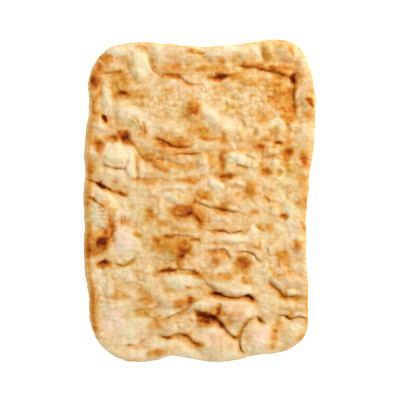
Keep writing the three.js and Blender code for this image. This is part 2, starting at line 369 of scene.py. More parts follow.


# %% Ridges
# path, height, width, browning, which is paler below zero: a painted highlight along the raised line
RIDGES = [
    ([(-136, 14), (-124, 11), (-112, 5), (-104, -3), (-101, -14), (-101, -27)], 1.8, 3.8, -.06),
    ([(87, 96), (92, 100), (99, 99), (104, 93), (104, 85)], 1.4, 1.8, -.16),
    ([(80, 53), (80, 62), (86, 69), (95, 69), (101, 62)], 1.8, 2.6, -.24),
    ([(85, 58), (87, 62), (92, 62), (94, 57)], 0.9, 1.8, -.12),
    ([(-20, 146), (-28, 150), (-36, 145), (-42, 139)], 1.2, 3.0, -.18),
    ([(-95, 36), (-86, 46), (-85, 58), (-92, 68)], 1.4, 2.8, -.16),
    ([(4, -97), (12, -99), (24, -104), (36, -110), (50, -112), (62, -110)], 1.2, 3.2, -.16),
    ([(16, -123), (30, -123), (46, -125), (60, -126), (72, -133)], 1.2, 2.4, 0.0),
    ([(48, -64), (60, -66), (67, -71), (72, -78)], 0.8, 2.2, -.14),
    ([(10, -59), (20, -57), (30, -57), (38, -62)], 0.8, 2.2, -.14),
    ([(-40, -142), (-30, -137), (-22, -133), (-15, -128)], 0.9, 2.4, -.12),
    ([(18, -6), (30, -8), (42, -10), (54, -14)], 0.9, 2.4, -.12),
    ([(-40, 52), (-30, 54), (-20, 56), (-8, 55)], 0.9, 2.0, -.2),
    ([(70, 176), (72, 186), (71, 194)], 0.9, 2.6, -.12),
    ([(88, -91), (95, -101), (103, -108), (108, -112), (126, -113)], 1.0, 2.8, -.16),
    ([(92, -136), (104, -137), (114, -140), (124, -138), (134, -143)], 0.9, 2.6, -.14),
    ([(-58, 168), (-56, 160), (-48, 155), (-38, 150)], 0.8, 2.4, -.12),
    ([(45, 47), (54, 47), (62, 44)], 0.8, 2.2, -.16),
    ([(46, 62), (56, 60), (64, 57), (72, 54)], 0.7, 2.2, -.06),
    ([(92, 30), (98, 28), (104, 33), (103, 40), (96, 41)], 0.8, 2.0, -.16),
    ([(96, -14), (100, -11), (108, -12), (112, -19), (108, -25)], 0.8, 2.2, -.14),
]
print(len(RIDGES), "ridges")

# %% Creases
# path, depth, width, height of the lip, reach of the lip, overhang, browning of the painted shade in and
# beside the crease
CREASES = [
    # the back third
    ([(-122, 156), (-113, 158), (-104, 159), (-95, 163)], 2.0, 1.7, 1.2, 9, 0.5, 0.4),
    ([(-40, 150), (-53, 157), (-61, 166), (-64, 180)], 2.4, 1.9, 1.0, 9, 0.4, 0.6),
    ([(-22, 188), (-8, 185), (0, 182), (11, 184)], 1.4, 1.5, 0.6, 6, 0.0, 0.3),
    ([(-40, 154), (-27, 156), (-19, 148), (-10, 144), (8, 143)], 2.0, 1.8, 0.8, 8, 0.3, 0.3),
    ([(-66, 46), (-71, 54), (-79, 64), (-86, 73), (-94, 84)], 2.0, 1.8, 0.8, 9, 0.4, 0.45),
    ([(-60, 80), (-50, 77), (-41, 73), (-33, 68), (-20, 67), (-6, 68)], 2.6, 2.2, 1.2, 11, 1.0, 0.5),
    ([(-106, 149), (-102, 141), (-97, 134), (-88, 133)], 1.8, 2.0, 0.4, 6, 0.0, 0.2),
    ([(44, 167), (60, 166), (76, 163), (87, 160), (96, 159), (106, 155), (115, 151)],
     3.0, 2.8, 1.4, 11, 0.8, 0.55),
    ([(12, 149), (20, 153), (30, 156), (44, 155)], 1.6, 2.8, 1.4, 9, 0.8, 0.25),
    ([(117, 157), (116, 146), (116, 134), (117, 122), (117, 110), (113, 101)], 2.6, 4.2, 1.4, 8, 0.4, 0.26),
    ([(77, 194), (76, 186), (79, 178), (81, 170)], 1.8, 2.0, 0.6, 6, 0.2, 0.2),
    ([(3, 75), (14, 76), (24, 77), (34, 79)], 1.3, 1.5, 0.6, 6, 0.0, 0.3),
    ([(46, 91), (47, 84), (50, 77), (51, 70)], 0.5, 1.5, 0.4, 6, 0.2, 0.1),
    ([(50, 102), (55, 96), (56, 88)], 1.2, 1.6, 0.4, 5, 0.0, 0.15),
    ([(105, 98), (110, 92), (110, 82), (103, 74)], 1.8, 1.8, 0.0, 6, 0.0, 0.2),
    ([(-75, 95), (-79, 101), (-88, 105)], 1.8, 1.4, 0.6, 4, 0.2, 0.65),
    ([(-70, 84), (-69, 92), (-72, 100)], 1.6, 1.4, 0.5, 4, 0.2, 0.55),
    # the left-hand side
    ([(-80, 64), (-74, 56), (-68, 51), (-58, 50), (-48, 52), (-36, 49), (-26, 45), (-14, 42)],
     1.4, 1.6, 0.3, 7, 0.3, 0.4),
    ([(-36, 55), (-24, 58), (-8, 58), (4, 61)], 2.4, 1.8, 0.8, 7, 0.3, 0.65),
    ([(-123, 47), (-118, 45), (-110, 42), (-100, 40), (-88, 41)], 2.0, 1.2, 0.7, 6, 0.2, 0.5),
    ([(-122, 50), (-114, 47), (-106, 49)], 0.8, 1.2, 0.3, 4, 0.0, 0.2),
    ([(-120, 54), (-114, 51), (-106, 52)], 0.6, 1.2, 0.2, 4, 0.0, 0.15),
    ([(-143, 27), (-137, 26), (-128, 23), (-121, 19), (-112, 15), (-104, 11)],
     3.2, 1.3, 0.3, 6, 0.6, 0.7),
    ([(-112, 18), (-107, 23), (-101, 24)], 1.4, 1.4, 0.6, 6, 0.0, 0.25),
    ([(-140, 7), (-132, 3), (-124, -3), (-115, -9)], 2.2, 1.2, 0.8, 6, 0.2, 0.65),
    ([(-128, -9), (-118, -9), (-108, -14)], 1.2, 1.2, 0.5, 3, 0.0, 0.3),
    ([(-128, -13), (-118, -13), (-107, -18)], 1.2, 1.2, 0.5, 3, 0.0, 0.3),
    ([(-127, -18), (-117, -17), (-106, -22)], 1.2, 1.2, 0.5, 3, 0.0, 0.3),
    ([(-125, -23), (-115, -22), (-106, -26)], 1.2, 1.2, 0.5, 3, 0.0, 0.4),
    ([(-111, -51), (-109, -38), (-107, -24), (-107, -10)], 1.8, 1.4, 0.6, 8, 0.3, 0.25),
    ([(-129, -67), (-119, -60), (-112, -54), (-106, -44)], 2.4, 2.0, 0.8, 8, 0.5, 0.5),
    ([(-129, -81), (-122, -75), (-114, -70)], 1.8, 2.0, 0.8, 7, 0.3, 0.5),
    ([(-107, -77), (-94, -80), (-85, -74), (-76, -68)], 1.8, 1.6, 0.8, 8, 0.2, 0.4),
    ([(-97, -17), (-96, -24), (-97, -30)], 1.2, 1.1, 0.0, 4, 0.0, 0.5),
    ([(-93, -17), (-92, -24), (-93, -30)], 1.2, 1.1, 0.0, 4, 0.0, 0.5),
    # the middle
    ([(-88, 26), (-74, 27), (-62, 25), (-50, 27), (-40, 25), (-30, 26), (-16, 26)],
     1.6, 2.4, 0.5, 7, 0.0, 0.15),
    ([(-14, 3), (-2, -2), (8, -6), (20, -9), (31, -11), (42, -13), (54, -18)],
     2.2, 1.9, 1.1, 9, 0.5, 0.5),
    ([(-38, -14), (-28, -18), (-20, -18), (-12, -15), (-5, -18), (1, -30)], 1.8, 1.8, 0.8, 7, 0.2, 0.4),
    ([(-52, -43), (-38, -43), (-24, -42), (-12, -44), (-2, -47)], 1.8, 1.6, 0.8, 8, 0.4, 0.4),
    ([(-54, -86), (-38, -86), (-28, -84), (-20, -85), (-8, -86), (3, -91)], 2.2, 1.8, 1.0, 8, 0.5, 0.4),
    ([(9, -38), (18, -37), (30, -37), (38, -40), (50, -37), (57, -41)], 2.0, 1.6, 0.9, 8, 0.2, 0.62),
    ([(9, -65), (20, -61), (30, -60), (35, -66), (38, -74)], 2.0, 1.8, 1.0, 8, 0.3, 0.4),
    ([(44, -62), (58, -63), (66, -66), (70, -70), (77, -78)], 2.6, 1.7, 1.2, 9, 0.5, 0.5),
    ([(4, -94), (8, -101), (14, -106), (24, -109)], 1.2, 1.4, 0.6, 7, 0.2, 0.2),
    # the right-hand side
    ([(56, 56), (63, 54), (70, 52)], 1.6, 1.5, 0.8, 6, 0.0, 0.4),
    ([(43, 45), (53, 43), (61, 41)], 1.4, 1.6, 0.6, 7, 0.2, 0.35),
    ([(41, 22), (47, 19), (53, 18)], 1.2, 1.4, 0.5, 5, 0.0, 0.3),
    ([(79, 8), (83, 3), (88, -3)], 1.3, 1.5, 0.5, 5, 0.0, 0.3),
    ([(69, -29), (74, -34), (81, -36)], 1.4, 1.5, 0.6, 5, 0.0, 0.35),
    ([(121, -24), (127, -29), (130, -39)], 1.6, 1.5, 0.6, 5, 0.0, 0.35),
    ([(83, -56), (84, -63), (89, -70)], 1.2, 1.5, 0.5, 5, 0.0, 0.25),
    ([(94, 62), (90, 67), (82, 63), (81, 56)], 1.0, 1.5, 0.4, 5, 0.0, 0.2),
    ([(84, -94), (90, -104), (99, -111), (104, -118), (112, -118), (128, -118)],
     2.4, 2.0, 0.8, 8, 0.5, 0.6),
    ([(105, -120), (105, -114), (104, -106)], 1.2, 1.4, 0.0, 5, 0.0, 0.2),
    ([(92, -141), (103, -141), (108, -143), (112, -146), (120, -143), (130, -144), (136, -151)],
     2.4, 1.3, 0.8, 8, 0.4, 0.6),
    ([(70, -141), (75, -147), (82, -152)], 2.4, 1.9, 0.8, 6, 0.2, 0.5),
    # the front edge
    ([(9, -113), (20, -112), (32, -117), (45, -119), (55, -117), (62, -116), (68, -122), (74, -129)],
     3.8, 2.2, 1.2, 12, 1.4, 0.5),
    ([(51, -93), (55, -98), (60, -104)], 1.6, 1.5, 0.4, 5, 0.0, 0.4),
    ([(-8, -135), (4, -137), (15, -140), (24, -146)], 3.0, 2.6, 1.0, 8, 1.2, 0.7),
    ([(18, -143), (26, -150), (32, -158), (38, -165), (44, -169), (50, -172)], 4.0, 1.8, 1.0, 8, 0.5, 0.7),
    ([(71, -142), (60, -150), (54, -157), (50, -166), (50, -175), (52, -184), (58, -191)],
     3.8, 1.7, 1.0, 8, 0.4, 0.7),
    ([(25, -125), (25, -133), (23, -142)], 2.0, 1.7, 0.6, 6, 0.0, 0.45),
    ([(-58, -166), (-40, -168), (-30, -165), (-20, -164), (-13, -168), (-7, -175), (6, -178)],
     2.8, 2.2, 1.0, 9, 0.6, 0.4),
    ([(-96, -182), (-88, -178), (-78, -178), (-72, -173), (-63, -170)], 1.8, 1.6, 0.7, 8, 0.2, 0.35),
    ([(-20, -105), (-10, -108), (2, -106)], 1.3, 1.5, 0.6, 6, 0.0, 0.3),
    ([(-52, -149), (-42, -146), (-33, -141), (-24, -138), (-16, -133), (-12, -126), (-7, -118)],
     2.4, 1.8, 1.0, 9, 0.4, 0.4),
    ([(-94, -141), (-84, -136), (-76, -136), (-68, -133), (-58, -135), (-48, -131)],
     1.2, 2.0, 0.6, 7, 0.0, 0.1),
    ([(-71, -136), (-62, -143), (-56, -146), (-50, -151)], 1.8, 2.4, 0.7, 6, 0.0, 0.3),
]
print(len(CREASES), "creases")


# %% All folds as a function
# browning of the painted shade on the low side of each crease
CREASE_SIDE_SHADE = 0.34


def folds(x, y):
    """Height, sideways push, painted shade and browning of all creases and ridges: their heights and pushes
    are added up, and the darkest painted line, the strongest painted shade beside a crease and the palest
    painted highlight of a ridge win at each point."""
    height, push_x, push_y, dark, low_side_shade, paler = (np.zeros_like(x) for _ in range(6))
    for *shape, browning in CREASES:
        rise, lean_x, lean_y, line, beside = crease(x, y, *shape)
        height = height + rise
        push_x = push_x + lean_x
        push_y = push_y + lean_y
        # the dark line along a crease is painted shade, and so is the band on its low side
        dark = np.maximum(dark, browning * line)
        low_side_shade = np.maximum(low_side_shade, browning * beside)
    for points, rise, width, painted_highlight in RIDGES:
        raised = ridge(x, y, points, width)
        height = height + rise * raised
        # a ridge's paler skin is a painted highlight along its raised line
        paler = np.minimum(paler, painted_highlight * raised)
    return height, push_x, push_y, dark, CREASE_SIDE_SHADE * low_side_shade + paler


# %% [markdown]
# ## Where the crust is browner or paler
# Browning is one number from 0 to 1: 0 is pale floury crust, 0.2 plain crust, 0.5 golden, 0.7 brown
# and 1 nearly burnt. It could be painted on an image, but a number at each point needs no image and can
# follow the shapes. Each patch is a soft ellipse that adds to it, or takes some away. Some are toasted
# blister tops and pale, floury crust, and many also hold painted light and painted shade: browner
# patches in hollows and on slopes in shade, and paler ones on lit tops and slopes.

# %% Patches at the back
# amount of browning, x, y, half width, half length, turn
PATCHES = [
    # the back left
    (.42, -114, 175, 8, 7), (-.2, -100, 179, 10, 4), (.3, -123, 177, 5, 3, -45),
    (.48, -123, 164, 7, 6, -40), (.24, -125, 157, 5, 4), (.38, -130, 145, 6, 9), (.16, -110, 135, 4, 8),
    (.32, -97, 148, 12, 17), (.2, -127, 150, 8, 13), (.34, -128, 115, 5, 26), (-.24, -138, 122, 4, 20),
    (.3, -117, 101, 9, 5, -30), (.32, -96, 131, 12, 5), (.2, -41, 150, 6, 5), (.16, -92, 174, 5, 6),
    (.16, -82, 165, 4, 7), (.16, -45, 142, 10, 7), (.4, -71, 187, 9, 6), (.5, -5, 183, 14, 4, -8),
    (.4, -34, 154, 13, 5, -10), (.28, -35, 165, 13, 6), (.18, -40, 136, 13, 5), (.1, -75, 131, 20, 7),
    (.55, -118, 103, 6, 4, -30), (.26, -83, 99, 7, 3, -40), (.3, -73, 93, 3, 6),
    (-.16, -80, 92, 12, 4, -10), (.2, -71, 82, 5, 4), (.3, -66, 86, 4, 5), (.5, -95, 82, 8, 8),
    (.5, -90, 74, 11, 5, -35), (.3, -50, 69, 9, 4, -15), (.4, -108, 77, 8, 5), (-.14, -96, 105, 6, 7),
    (.6, -125, 68, 8, 12, 10), (-.2, -133, 64, 5, 7), (.1, -50, 100, 14, 8), (.28, -43, 71, 13, 5, -25),
    (.35, -24, 71, 17, 8), (.22, -42, 60, 20, 5, -5), (.34, -60, 54, 10, 6, -20), (.24, -18, 60, 16, 3),
    (.4, -47, 43, 14, 6, -8), (.4, -9, 114, 9, 12), (.4, -2, 113, 5, 9), (.12, -8, 92, 12, 12),
    (.16, -21, 102, 6, 6), (.2, -43, 79, 5, 4),
    # the back right
    (.4, 4, 84, 12, 9), (.06, 28, 79, 6, 9), (.2, 26, 95, 6, 6), (.2, 6, 76, 6, 4), (.1, 25, 173, 6, 6),
    (.34, 12, 163, 30, 5), (.1, 27, 169, 13, 5), (.14, 86, 183, 6, 14), (-.14, 99, 183, 6, 6),
    (.26, 75, 172, 6, 4), (.2, 98, 192, 8, 4), (.24, 112, 188, 6, 5), (.3, 53, 167, 10, 4),
    (.34, 72, 167, 10, 4), (.3, 86, 164, 12, 4), (.42, 100, 164, 15, 4), (.36, 105, 157, 8, 4, -20),
    (.26, 98, 152, 12, 4), (.18, 88, 172, 10, 4), (.42, 114, 152, 5, 7), (.26, 115, 140, 6, 20),
    (.2, 117, 110, 6, 11), (.5, 22, 153, 13, 7, 10), (.3, 42, 154, 12, 5), (.3, 63, 148, 13, 7),
    (.32, 92, 144, 10, 5), (.2, 102, 113, 6, 4), (.36, 101, 137, 13, 8), (.32, 94, 126, 8, 6),
    (.16, 73, 124, 8, 5), (.26, 108, 112, 7, 7), (.24, 111, 122, 4, 12), (.2, 98, 117, 8, 6),
    (.2, 88, 106, 8, 5), (.18, 136, 137, 5, 4), (.56, 135, 123, 6, 6), (.35, 138, 117, 5, 4),
    (.2, 137, 128, 6, 22), (.2, 134, 106, 5, 5), (.2, 133, 95, 5, 14), (.2, 122, 144, 5, 7),
    (.4, 107, 100, 10, 9), (.08, 93, 87, 6, 8), (.5, 97, 70, 9, 5), (.24, 78, 99, 10, 7),
    (.26, 84, 78, 5, 6), (.2, 70, 72, 5, 5), (.16, 30, 72, 6, 4), (.2, 92, 64, 4, 4), (.38, 76, 65, 11, 6),
    (.32, 111, 69, 7, 8), (.24, 94, 54, 6, 6), (.16, 53, 81, 7, 8), (.16, 106, 52, 10, 5),
    (.2, 47, 63, 13, 4),
]
print(len(PATCHES), "patches at the back")

# %% Patches on the sides and in the middle
PATCHES += [
    # the left-hand side
    (.26, -134, 40, 8, 8), (-.16, -132, 23, 6, 4), (-.2, -131, 58, 5, 7), (.6, -122, 20, 8, 4, -25),
    (.1, -104, 25, 5, 4, 20), (.46, -98, 9, 11, 4, -5), (-.12, -109, 2, 7, 4, -45), (.14, -100, 19, 10, 4),
    (-.16, -85, 0, 16, 6), (-.16, -42, 5, 8, 7), (-.14, -90, -17, 7, 5), (-.14, -45, -22, 5, 5),
    (.25, -134, 3, 6, 3, -20), (.36, -115, -5, 9, 5, -40), (-.16, -121, -17, 9, 6),
    (.62, -117, -46, 11, 9, 20), (.22, -107, -34, 4, 8), (.48, -121, -53, 8, 8, 20),
    (.36, -130, -58, 8, 12), (.2, -140, -54, 5, 10), (.24, -135, -69, 6, 4), (.2, -140, -7, 4, 9),
    (.24, -130, -42, 9, 8), (.22, -107, -14, 5, 13, -10), (.3, -111, -33, 6, 8, -20),
    (.45, -118, -79, 11, 6, 10), (.24, -90, -76, 13, 4, 15), (.34, -78, -42, 8, 4, -10),
    (.16, -90, -25, 8, 7), (.16, -82, -37, 5, 9, 30), (.16, -50, -58, 4, 10), (.2, -54, -56, 6, 11),
    (.34, -63, -17, 9, 9), (.16, -46, -30, 9, 8), (.24, -52, -46, 10, 6), (.22, -79, 44, 4, 12),
    (.14, -60, 23, 16, 5), (.38, -11, 24, 11, 6), (.22, -57, 32, 9, 4, -30), (.36, -80, 25, 6, 4),
    (.16, -28, 7, 14, 3, -10), (-.16, -26, 14, 7, 4), (.2, -60, 20, 7, 4), (.24, -16, 42, 10, 7),
    # the middle
    (.36, -20, -12, 14, 9), (.28, -35, -12, 8, 6), (.34, -4, -18, 11, 8, -20), (.36, 2, -28, 6, 8),
    (.12, -35, -25, 24, 8), (.42, -29, -57, 19, 15), (.16, -20, -57, 9, 9), (.2, -20, -36, 24, 5),
    (.3, -9, -6, 6, 6), (.2, 27, -3, 10, 3), (.16, 127, -6, 6, 5), (.2, 2, 5, 14, 5), (.52, -23, -74, 7, 9),
    (.46, -7, -48, 9, 4), (.3, -38, -43, 7, 4), (.1, -13, -45, 6, 3), (-.2, -3, -56, 7, 4),
    (-.2, -9, -132, 6, 5), (.2, 11, 54, 9, 6), (.24, 16, 46, 6, 5), (-.14, 5, 38, 9, 6),
    # the right-hand side
    (.34, 7, 8, 12, 8), (.22, 42, 3, 13, 7), (.14, 93, 1, 5, 4), (.14, 112, 11, 6, 4),
    (.26, 27, -8, 12, 4, -10), (.26, 25, -14, 9, 4, -10), (.34, 27, 45, 6, 17), (.22, 31, 15, 5, 6),
    (.16, 24, 30, 6, 10), (.34, 34, 29, 12, 6, 15), (.24, 30, 58, 9, 9), (.16, 57, 60, 14, 4),
    (.2, 69, 50, 10, 3, -30), (.2, 91, -9, 5, 4), (.24, 75, 41, 5, 10, -15), (-.14, 62, 33, 8, 7),
    (.44, 108, 57, 9, 9), (.26, 109, 38, 6, 7), (.24, 105, 44, 5, 5), (.3, 128, 54, 6, 9),
    (.14, 127, 46, 5, 6), (.18, 124, 28, 9, 13), (.2, 131, 44, 7, 5), (.4, 83, 35, 10, 8, -15),
    (.28, 98, 35, 5, 6), (.1, 53, 43, 9, 3, -10), (.42, 64, 14, 8, 13), (.22, 84, 2, 5, 6, -40),
    (.3, 125, 5, 4, 9), (-.22, 117, 2, 4, 6), (.28, 132, 2, 4, 16), (-.18, 124, -17, 6, 4),
    (.28, 66, -14, 7, 6), (.44, 103, -19, 7, 6), (.15, 112, -19, 8, 5), (.16, 58, -34, 4, 6),
    (.2, 88, -84, 4, 6), (.3, 76, -31, 6, 4), (.24, 85, -34, 6, 8), (.22, 25, -36, 18, 3),
    (.2, 54, -42, 5, 4), (.38, 69, -53, 8, 7, -10), (.44, 121, -54, 6, 9), (.34, 103, -66, 13, 6),
    (.26, 104, -76, 9, 8), (.25, 92, -93, 8, 4), (.3, 109, -91, 10, 7), (.22, 134, -66, 4, 14),
    (.28, 23, -69, 12, 9), (.54, 52, -77, 12, 9, -10), (.3, 57, -86, 8, 6), (.3, 57, -99, 8, 7),
    (.22, 42, -86, 7, 6), (.1, 46, -66, 12, 5),
]
print(len(PATCHES), "patches with the sides and the middle")

# %% Patches at the front
PATCHES += [
    # the front left
    (.46, -41, -86, 15, 5, 5), (.2, -12, -91, 14, 4), (.16, -14, -62, 10, 5), (.4, -3, -93, 9, 5),
    (.2, -38, -110, 7, 4), (-.18, -27, -106, 7, 5), (.34, -101, -116, 12, 8), (-.18, -117, -130, 6, 12),
    (.18, -90, -142, 9, 4), (.24, -129, -122, 6, 24), (.22, -67, -114, 9, 8), (.34, -67, -124, 9, 5),
    (.42, -22, -127, 14, 9, 10), (.46, -7, -122, 9, 5, 10), (.2, 15, -133, 10, 5), (.14, -74, -140, 16, 4),
    (.24, -64, -134, 6, 5), (.28, -50, -147, 8, 8), (.2, -55, -156, 6, 5), (.4, -36, -167, 13, 4),
    (.2, 44, -167, 5, 4), (-.16, -46, -163, 8, 4), (.4, -14, -165, 7, 6), (.26, -15, -172, 6, 4),
    (.3, -131, -158, 5, 6), (.22, 98, -148, 5, 6), (.36, -1, -177, 9, 5), (.4, -52, -187, 15, 5, 8),
    (.2, -104, -94, 6, 4), (.2, -113, -84, 8, 5), (.3, -82, -196, 12, 3),
    # the front right
    (.38, 20, -117, 13, 5, -8), (.32, 62, -121, 10, 5, -20), (.14, 42, -119, 11, 3),
    (.52, 9, -146, 15, 7, -12), (.4, 5, -151, 10, 5, -10), (.35, 28, -151, 4, 7, 40), (.34, 25, -139, 7, 8),
    (.2, 44, -139, 17, 5), (.12, 45, -130, 20, 4), (.28, 35, -94, 7, 5), (.24, 22, -96, 13, 6),
    (-.14, 30, -84, 12, 5), (.3, 102, -116, 8, 6, -30), (.2, 124, -119, 10, 4), (.5, 112, -142, 6, 4),
    (.14, 97, -154, 8, 6), (.16, 75, -147, 5, 6, -45), (.14, 90, -164, 8, 12), (.25, 93, -160, 4, 3),
    (.26, 92, -170, 6, 12), (.25, 86, -180, 6, 6), (.6, 128, -172, 8, 10), (.3, 134, -150, 4, 9),
    (.26, 134, -126, 4, 16), (.18, 22, -170, 12, 7),
]
print(len(PATCHES), "patches with the front")

# %% Pale crust: flour, and painted light
PATCHES += [
    (-.16, -90, 184, 32, 7), (-.16, -112, 182, 10, 5), (-.16, -84, 157, 6, 8), (-.22, -72, 168, 11, 20, 10),
    (-.22, -80, 104, 22, 8, -20), (-.18, -108, 110, 12, 7), (-.22, -124, 88, 9, 8), (-.16, -90, 98, 7, 5),
    (-.26, -116, 127, 6, 18), (-.14, -81, -168, 14, 10), (-.2, -104, 57, 24, 15), (-.12, -112, 47, 16, 7),
    (-.18, -112, 23, 15, 5, -20), (-.2, -60, 86, 11, 5), (-.16, -60, 63, 12, 4, -30),
    (-.24, -95, 32, 16, 12), (-.16, -132, -8, 8, 5), (-.12, -120, -27, 8, 9), (-.14, -46, 20, 9, 4),
    (-.16, -75, 30, 4, 5), (-.14, -85, 48, 6, 16), (-.3, -129, -17, 10, 16), (-.26, -94, -52, 17, 24),
    (-.14, -14, 184, 30, 8), (-.14, -52, 185, 6, 12), (-.2, -54, 132, 6, 12), (-.12, -70, 193, 18, 5),
    (-.16, 50, 188, 24, 7), (-.22, 24, 184, 34, 6), (-.24, 16, 102, 26, 9, -40), (-.26, 54, 128, 11, 8, 20),
    (-.14, -38, 115, 5, 12), (-.14, -8, 104, 8, 4), (.14, 38, 112, 6, 6), (-.14, 40, 98, 8, 8),
    (-.16, 97, 98, 8, 4), (-.14, 62, 83, 4, 10), (-.26, 44, 73, 4, 9), (-.14, 44, 50, 6, 4),
    (-.14, 8, 66, 9, 4), (-.28, 17, 19, 13, 9), (-.26, 44, 52, 16, 7), (-.12, 64, 45, 12, 8),
    (-.16, -36, 4, 14, 6, -10), (-.16, -25, 15, 8, 4), (-.14, -44, -15, 6, 10), (-.16, -44, 53, 4, 9),
    (-.14, -80, 9, 10, 7), (-.12, 0, 132, 26, 6, -10), (-.16, -20, 121, 9, 5, -45), (-.16, -27, 137, 5, 12),
    (-.12, 4, 143, 10, 8), (-.12, -45, 42, 4, 16), (-.3, 20, -23, 6, 5), (-.14, 18, -60, 6, 4),
    (-.1, 3, 38, 8, 6), (-.1, 25, 13, 9, 8), (-.14, 62, 62, 9, 4), (-.22, 42, -46, 18, 7),
    (-.16, 66, -42, 9, 13), (-.3, 80, -52, 5, 15), (-.1, 80, -28, 4, 10), (-.26, 110, -30, 10, 16),
    (-.2, 112, -10, 10, 8), (-.12, 125, -46, 8, 5), (-.16, 103, 12, 5, 9), (-.16, 82, -12, 7, 5),
    (-.14, 70, -6, 4, 6), (-.24, 118, -64, 8, 8), (-.16, 118, -83, 9, 5), (-.16, 121, -45, 8, 5),
    (-.14, 62, -35, 4, 8), (-.16, 70, -72, 5, 8), (-.2, -40, -68, 8, 7), (-.28, -22, -98, 22, 8),
    (-.2, -92, -90, 13, 10), (-.16, -86, -72, 6, 4), (-.16, -75, -79, 5, 7), (-.14, -127, -88, 10, 6),
    (-.14, -122, -104, 12, 7), (-.14, -99, -94, 5, 5), (-.22, 48, -107, 22, 7, -10), (-.2, 92, -82, 6, 8),
    (-.12, 22, -108, 12, 4, -20), (-.22, 78, -95, 7, 16), (-.24, 80, -126, 7, 15), (-.2, 3, -129, 10, 5),
    (-.2, 26, -126, 7, 5), (-.2, -13, -132, 6, 5), (-.08, 20, -168, 20, 12), (-.2, 5, -189, 48, 6),
    (-.16, -78, -189, 20, 6), (-.18, -127, -95, 8, 14), (-.24, 46, -158, 12, 6, 45), (-.2, 45, -178, 6, 8),
    (-.18, 66, -181, 9, 7), (-.14, 73, -174, 16, 18), (-.14, 22, -158, 18, 4), (-.16, 106, -174, 11, 8),
    (-.18, 104, -145, 5, 4), (-.12, 122, -142, 10, 5), (-.14, 126, 119, 5, 8), (-.18, 130, 145, 6, 5),
    (-.16, 92, 81, 5, 5), (-.22, 124, 79, 6, 7), (-.16, 77, 80, 4, 6), (-.14, 117, 19, 6, 4),
    (-.2, 102, 3, 4, 5), (-.2, 137, 138, 4, 6), (-.1, 136, 123, 3, 4), (-.16, 115, -152, 13, 7),
    (-.22, -50, -174, 14, 7), (-.12, 20, -190, 10, 4), (-.2, -96, -150, 24, 26), (-.14, -112, -136, 7, 7),
    (-.2, -40, -135, 8, 7), (-.12, 60, -142, 12, 4), (-.16, 92, -148, 5, 6), (-.2, -30, -167, 5, 4),
    (-.14, -130, 66, 5, 5), (-.14, -30, -104, 12, 6), (-.14, -70, -150, 9, 8), (-.16, -100, -58, 12, 10),
    (-.14, -34, -68, 8, 6), (-.08, 20, 4, 12, 9), (-.12, 82, -130, 6, 10),
]
print(len(PATCHES), "patches in all")

# %% [markdown]
# ## Smooth, rough and tinted skin
# Where gas stretched the skin it dried smooth, and where flour and crumbs stuck to it, it stayed rough.
# The crust is also not all of one hue: some of it baked to an olive yellow and some to a redder tan, a
# whole pillow, hollow or fold at a time. Noise alone could place such areas, but it wouldn't know where
# the shapes are, so they are ellipses too.

# %% Areas of smooth and rough skin
# amount, x, y, half width, half length, turn
SMOOTH_SKIN = [
    (.8, -93, -52, 20, 24), (.8, -30, 168, 16, 12), (.7, -72, 165, 11, 20, 10), (.5, -104, 60, 22, 14),
    (.6, -110, 0, 16, 12), (.5, -88, -156, 28, 20), (.5, 20, -168, 24, 14), (.6, 75, -166, 16, 18),
    (.6, 45, -132, 24, 14), (.6, 40, -102, 22, 10), (.4, -33, -58, 20, 14), (.7, -20, -128, 14, 10),
]
ROUGH_SKIN = [
    (.9, 60, 125, 50, 30), (.5, -50, 120, 30, 18), (.6, -115, -110, 24, 26), (.6, -30, 125, 26, 16),
    (.5, 10, 135, 26, 14), (.4, 100, -85, 26, 18), (.5, -70, -95, 30, 16), (.5, -20, -150, 24, 10),
    (.6, 10, -55, 22, 10),
]


def areas(x, y, rows):
    """The sum of wide domes, each times its amount."""
    return sum(amount * dome(x, y, place, 1) for amount, *place in rows)


print(len(SMOOTH_SKIN), "smooth areas and", len(ROUGH_SKIN), "rough ones")

# %% Areas of olive and rosy skin
# x, y, half width, half length, turn
OLIVE_SKIN = [
    (-92, 175, 7, 6), (-104, 142, 9, 20), (-67, 126, 10, 6), (-42, 135, 12, 6), (-82, 95, 11, 10),
    (-96, 9, 13, 6), (-82, 68, 13, 4, -48), (40, 116, 16, 12), (92, 93, 9, 7), (52, 81, 9, 10),
    (5, 85, 10, 8), (28, 46, 7, 14), (98, 35, 7, 7), (112, 38, 7, 9), (-78, -42, 10, 6), (-70, -14, 15, 7),
    (-90, -76, 16, 6, 15), (-54, -86, 14, 6), (108, -117, 24, 8), (128, -170, 10, 10), (-74, -138, 22, 7),
    (76, -147, 8, 7), (112, -143, 8, 6), (-12, -91, 12, 5), (-131, -18, 7, 18), (116, 128, 7, 30),
    (-38, -60, 11, 16), (88, 183, 12, 12), (55, 150, 20, 9),
]
ROSY_SKIN = [
    (-104, 26, 6, 5), (-66, 86, 5, 6), (-116, -38, 10, 10), (-121, -52, 11, 10), (-22, -11, 18, 10),
    (-4, -18, 10, 10), (-40, 72, 14, 5, -25), (-20, 71, 14, 8), (9, -145, 17, 9), (22, -116, 16, 6),
    (24, 153, 14, 8), (116, 152, 7, 9), (-20, -127, 16, 10), (20, -168, 24, 13), (72, -165, 17, 18),
    (-95, -55, 20, 24), (-124, 67, 9, 11), (-92, 80, 10, 9), (76, 66, 12, 8), (-114, 101, 8, 7),
    (-30, 168, 17, 10), (110, 114, 9, 10), (-105, -152, 16, 24), (45, -140, 22, 14), (-20, -70, 8, 10),
    (22, -71, 13, 9), (132, 50, 8, 12), (135, 123, 7, 9), (75, -170, 16, 16), (-45, 42, 14, 8),
]


def rosiness(x, y):
    """How red the crust is: above zero on rosy skin, below zero on olive skin, as a sum of domes."""
    rosy = sum(dome(x, y, place, 1) for place in ROSY_SKIN)
    return rosy - sum(dome(x, y, place, 1) for place in OLIVE_SKIN)


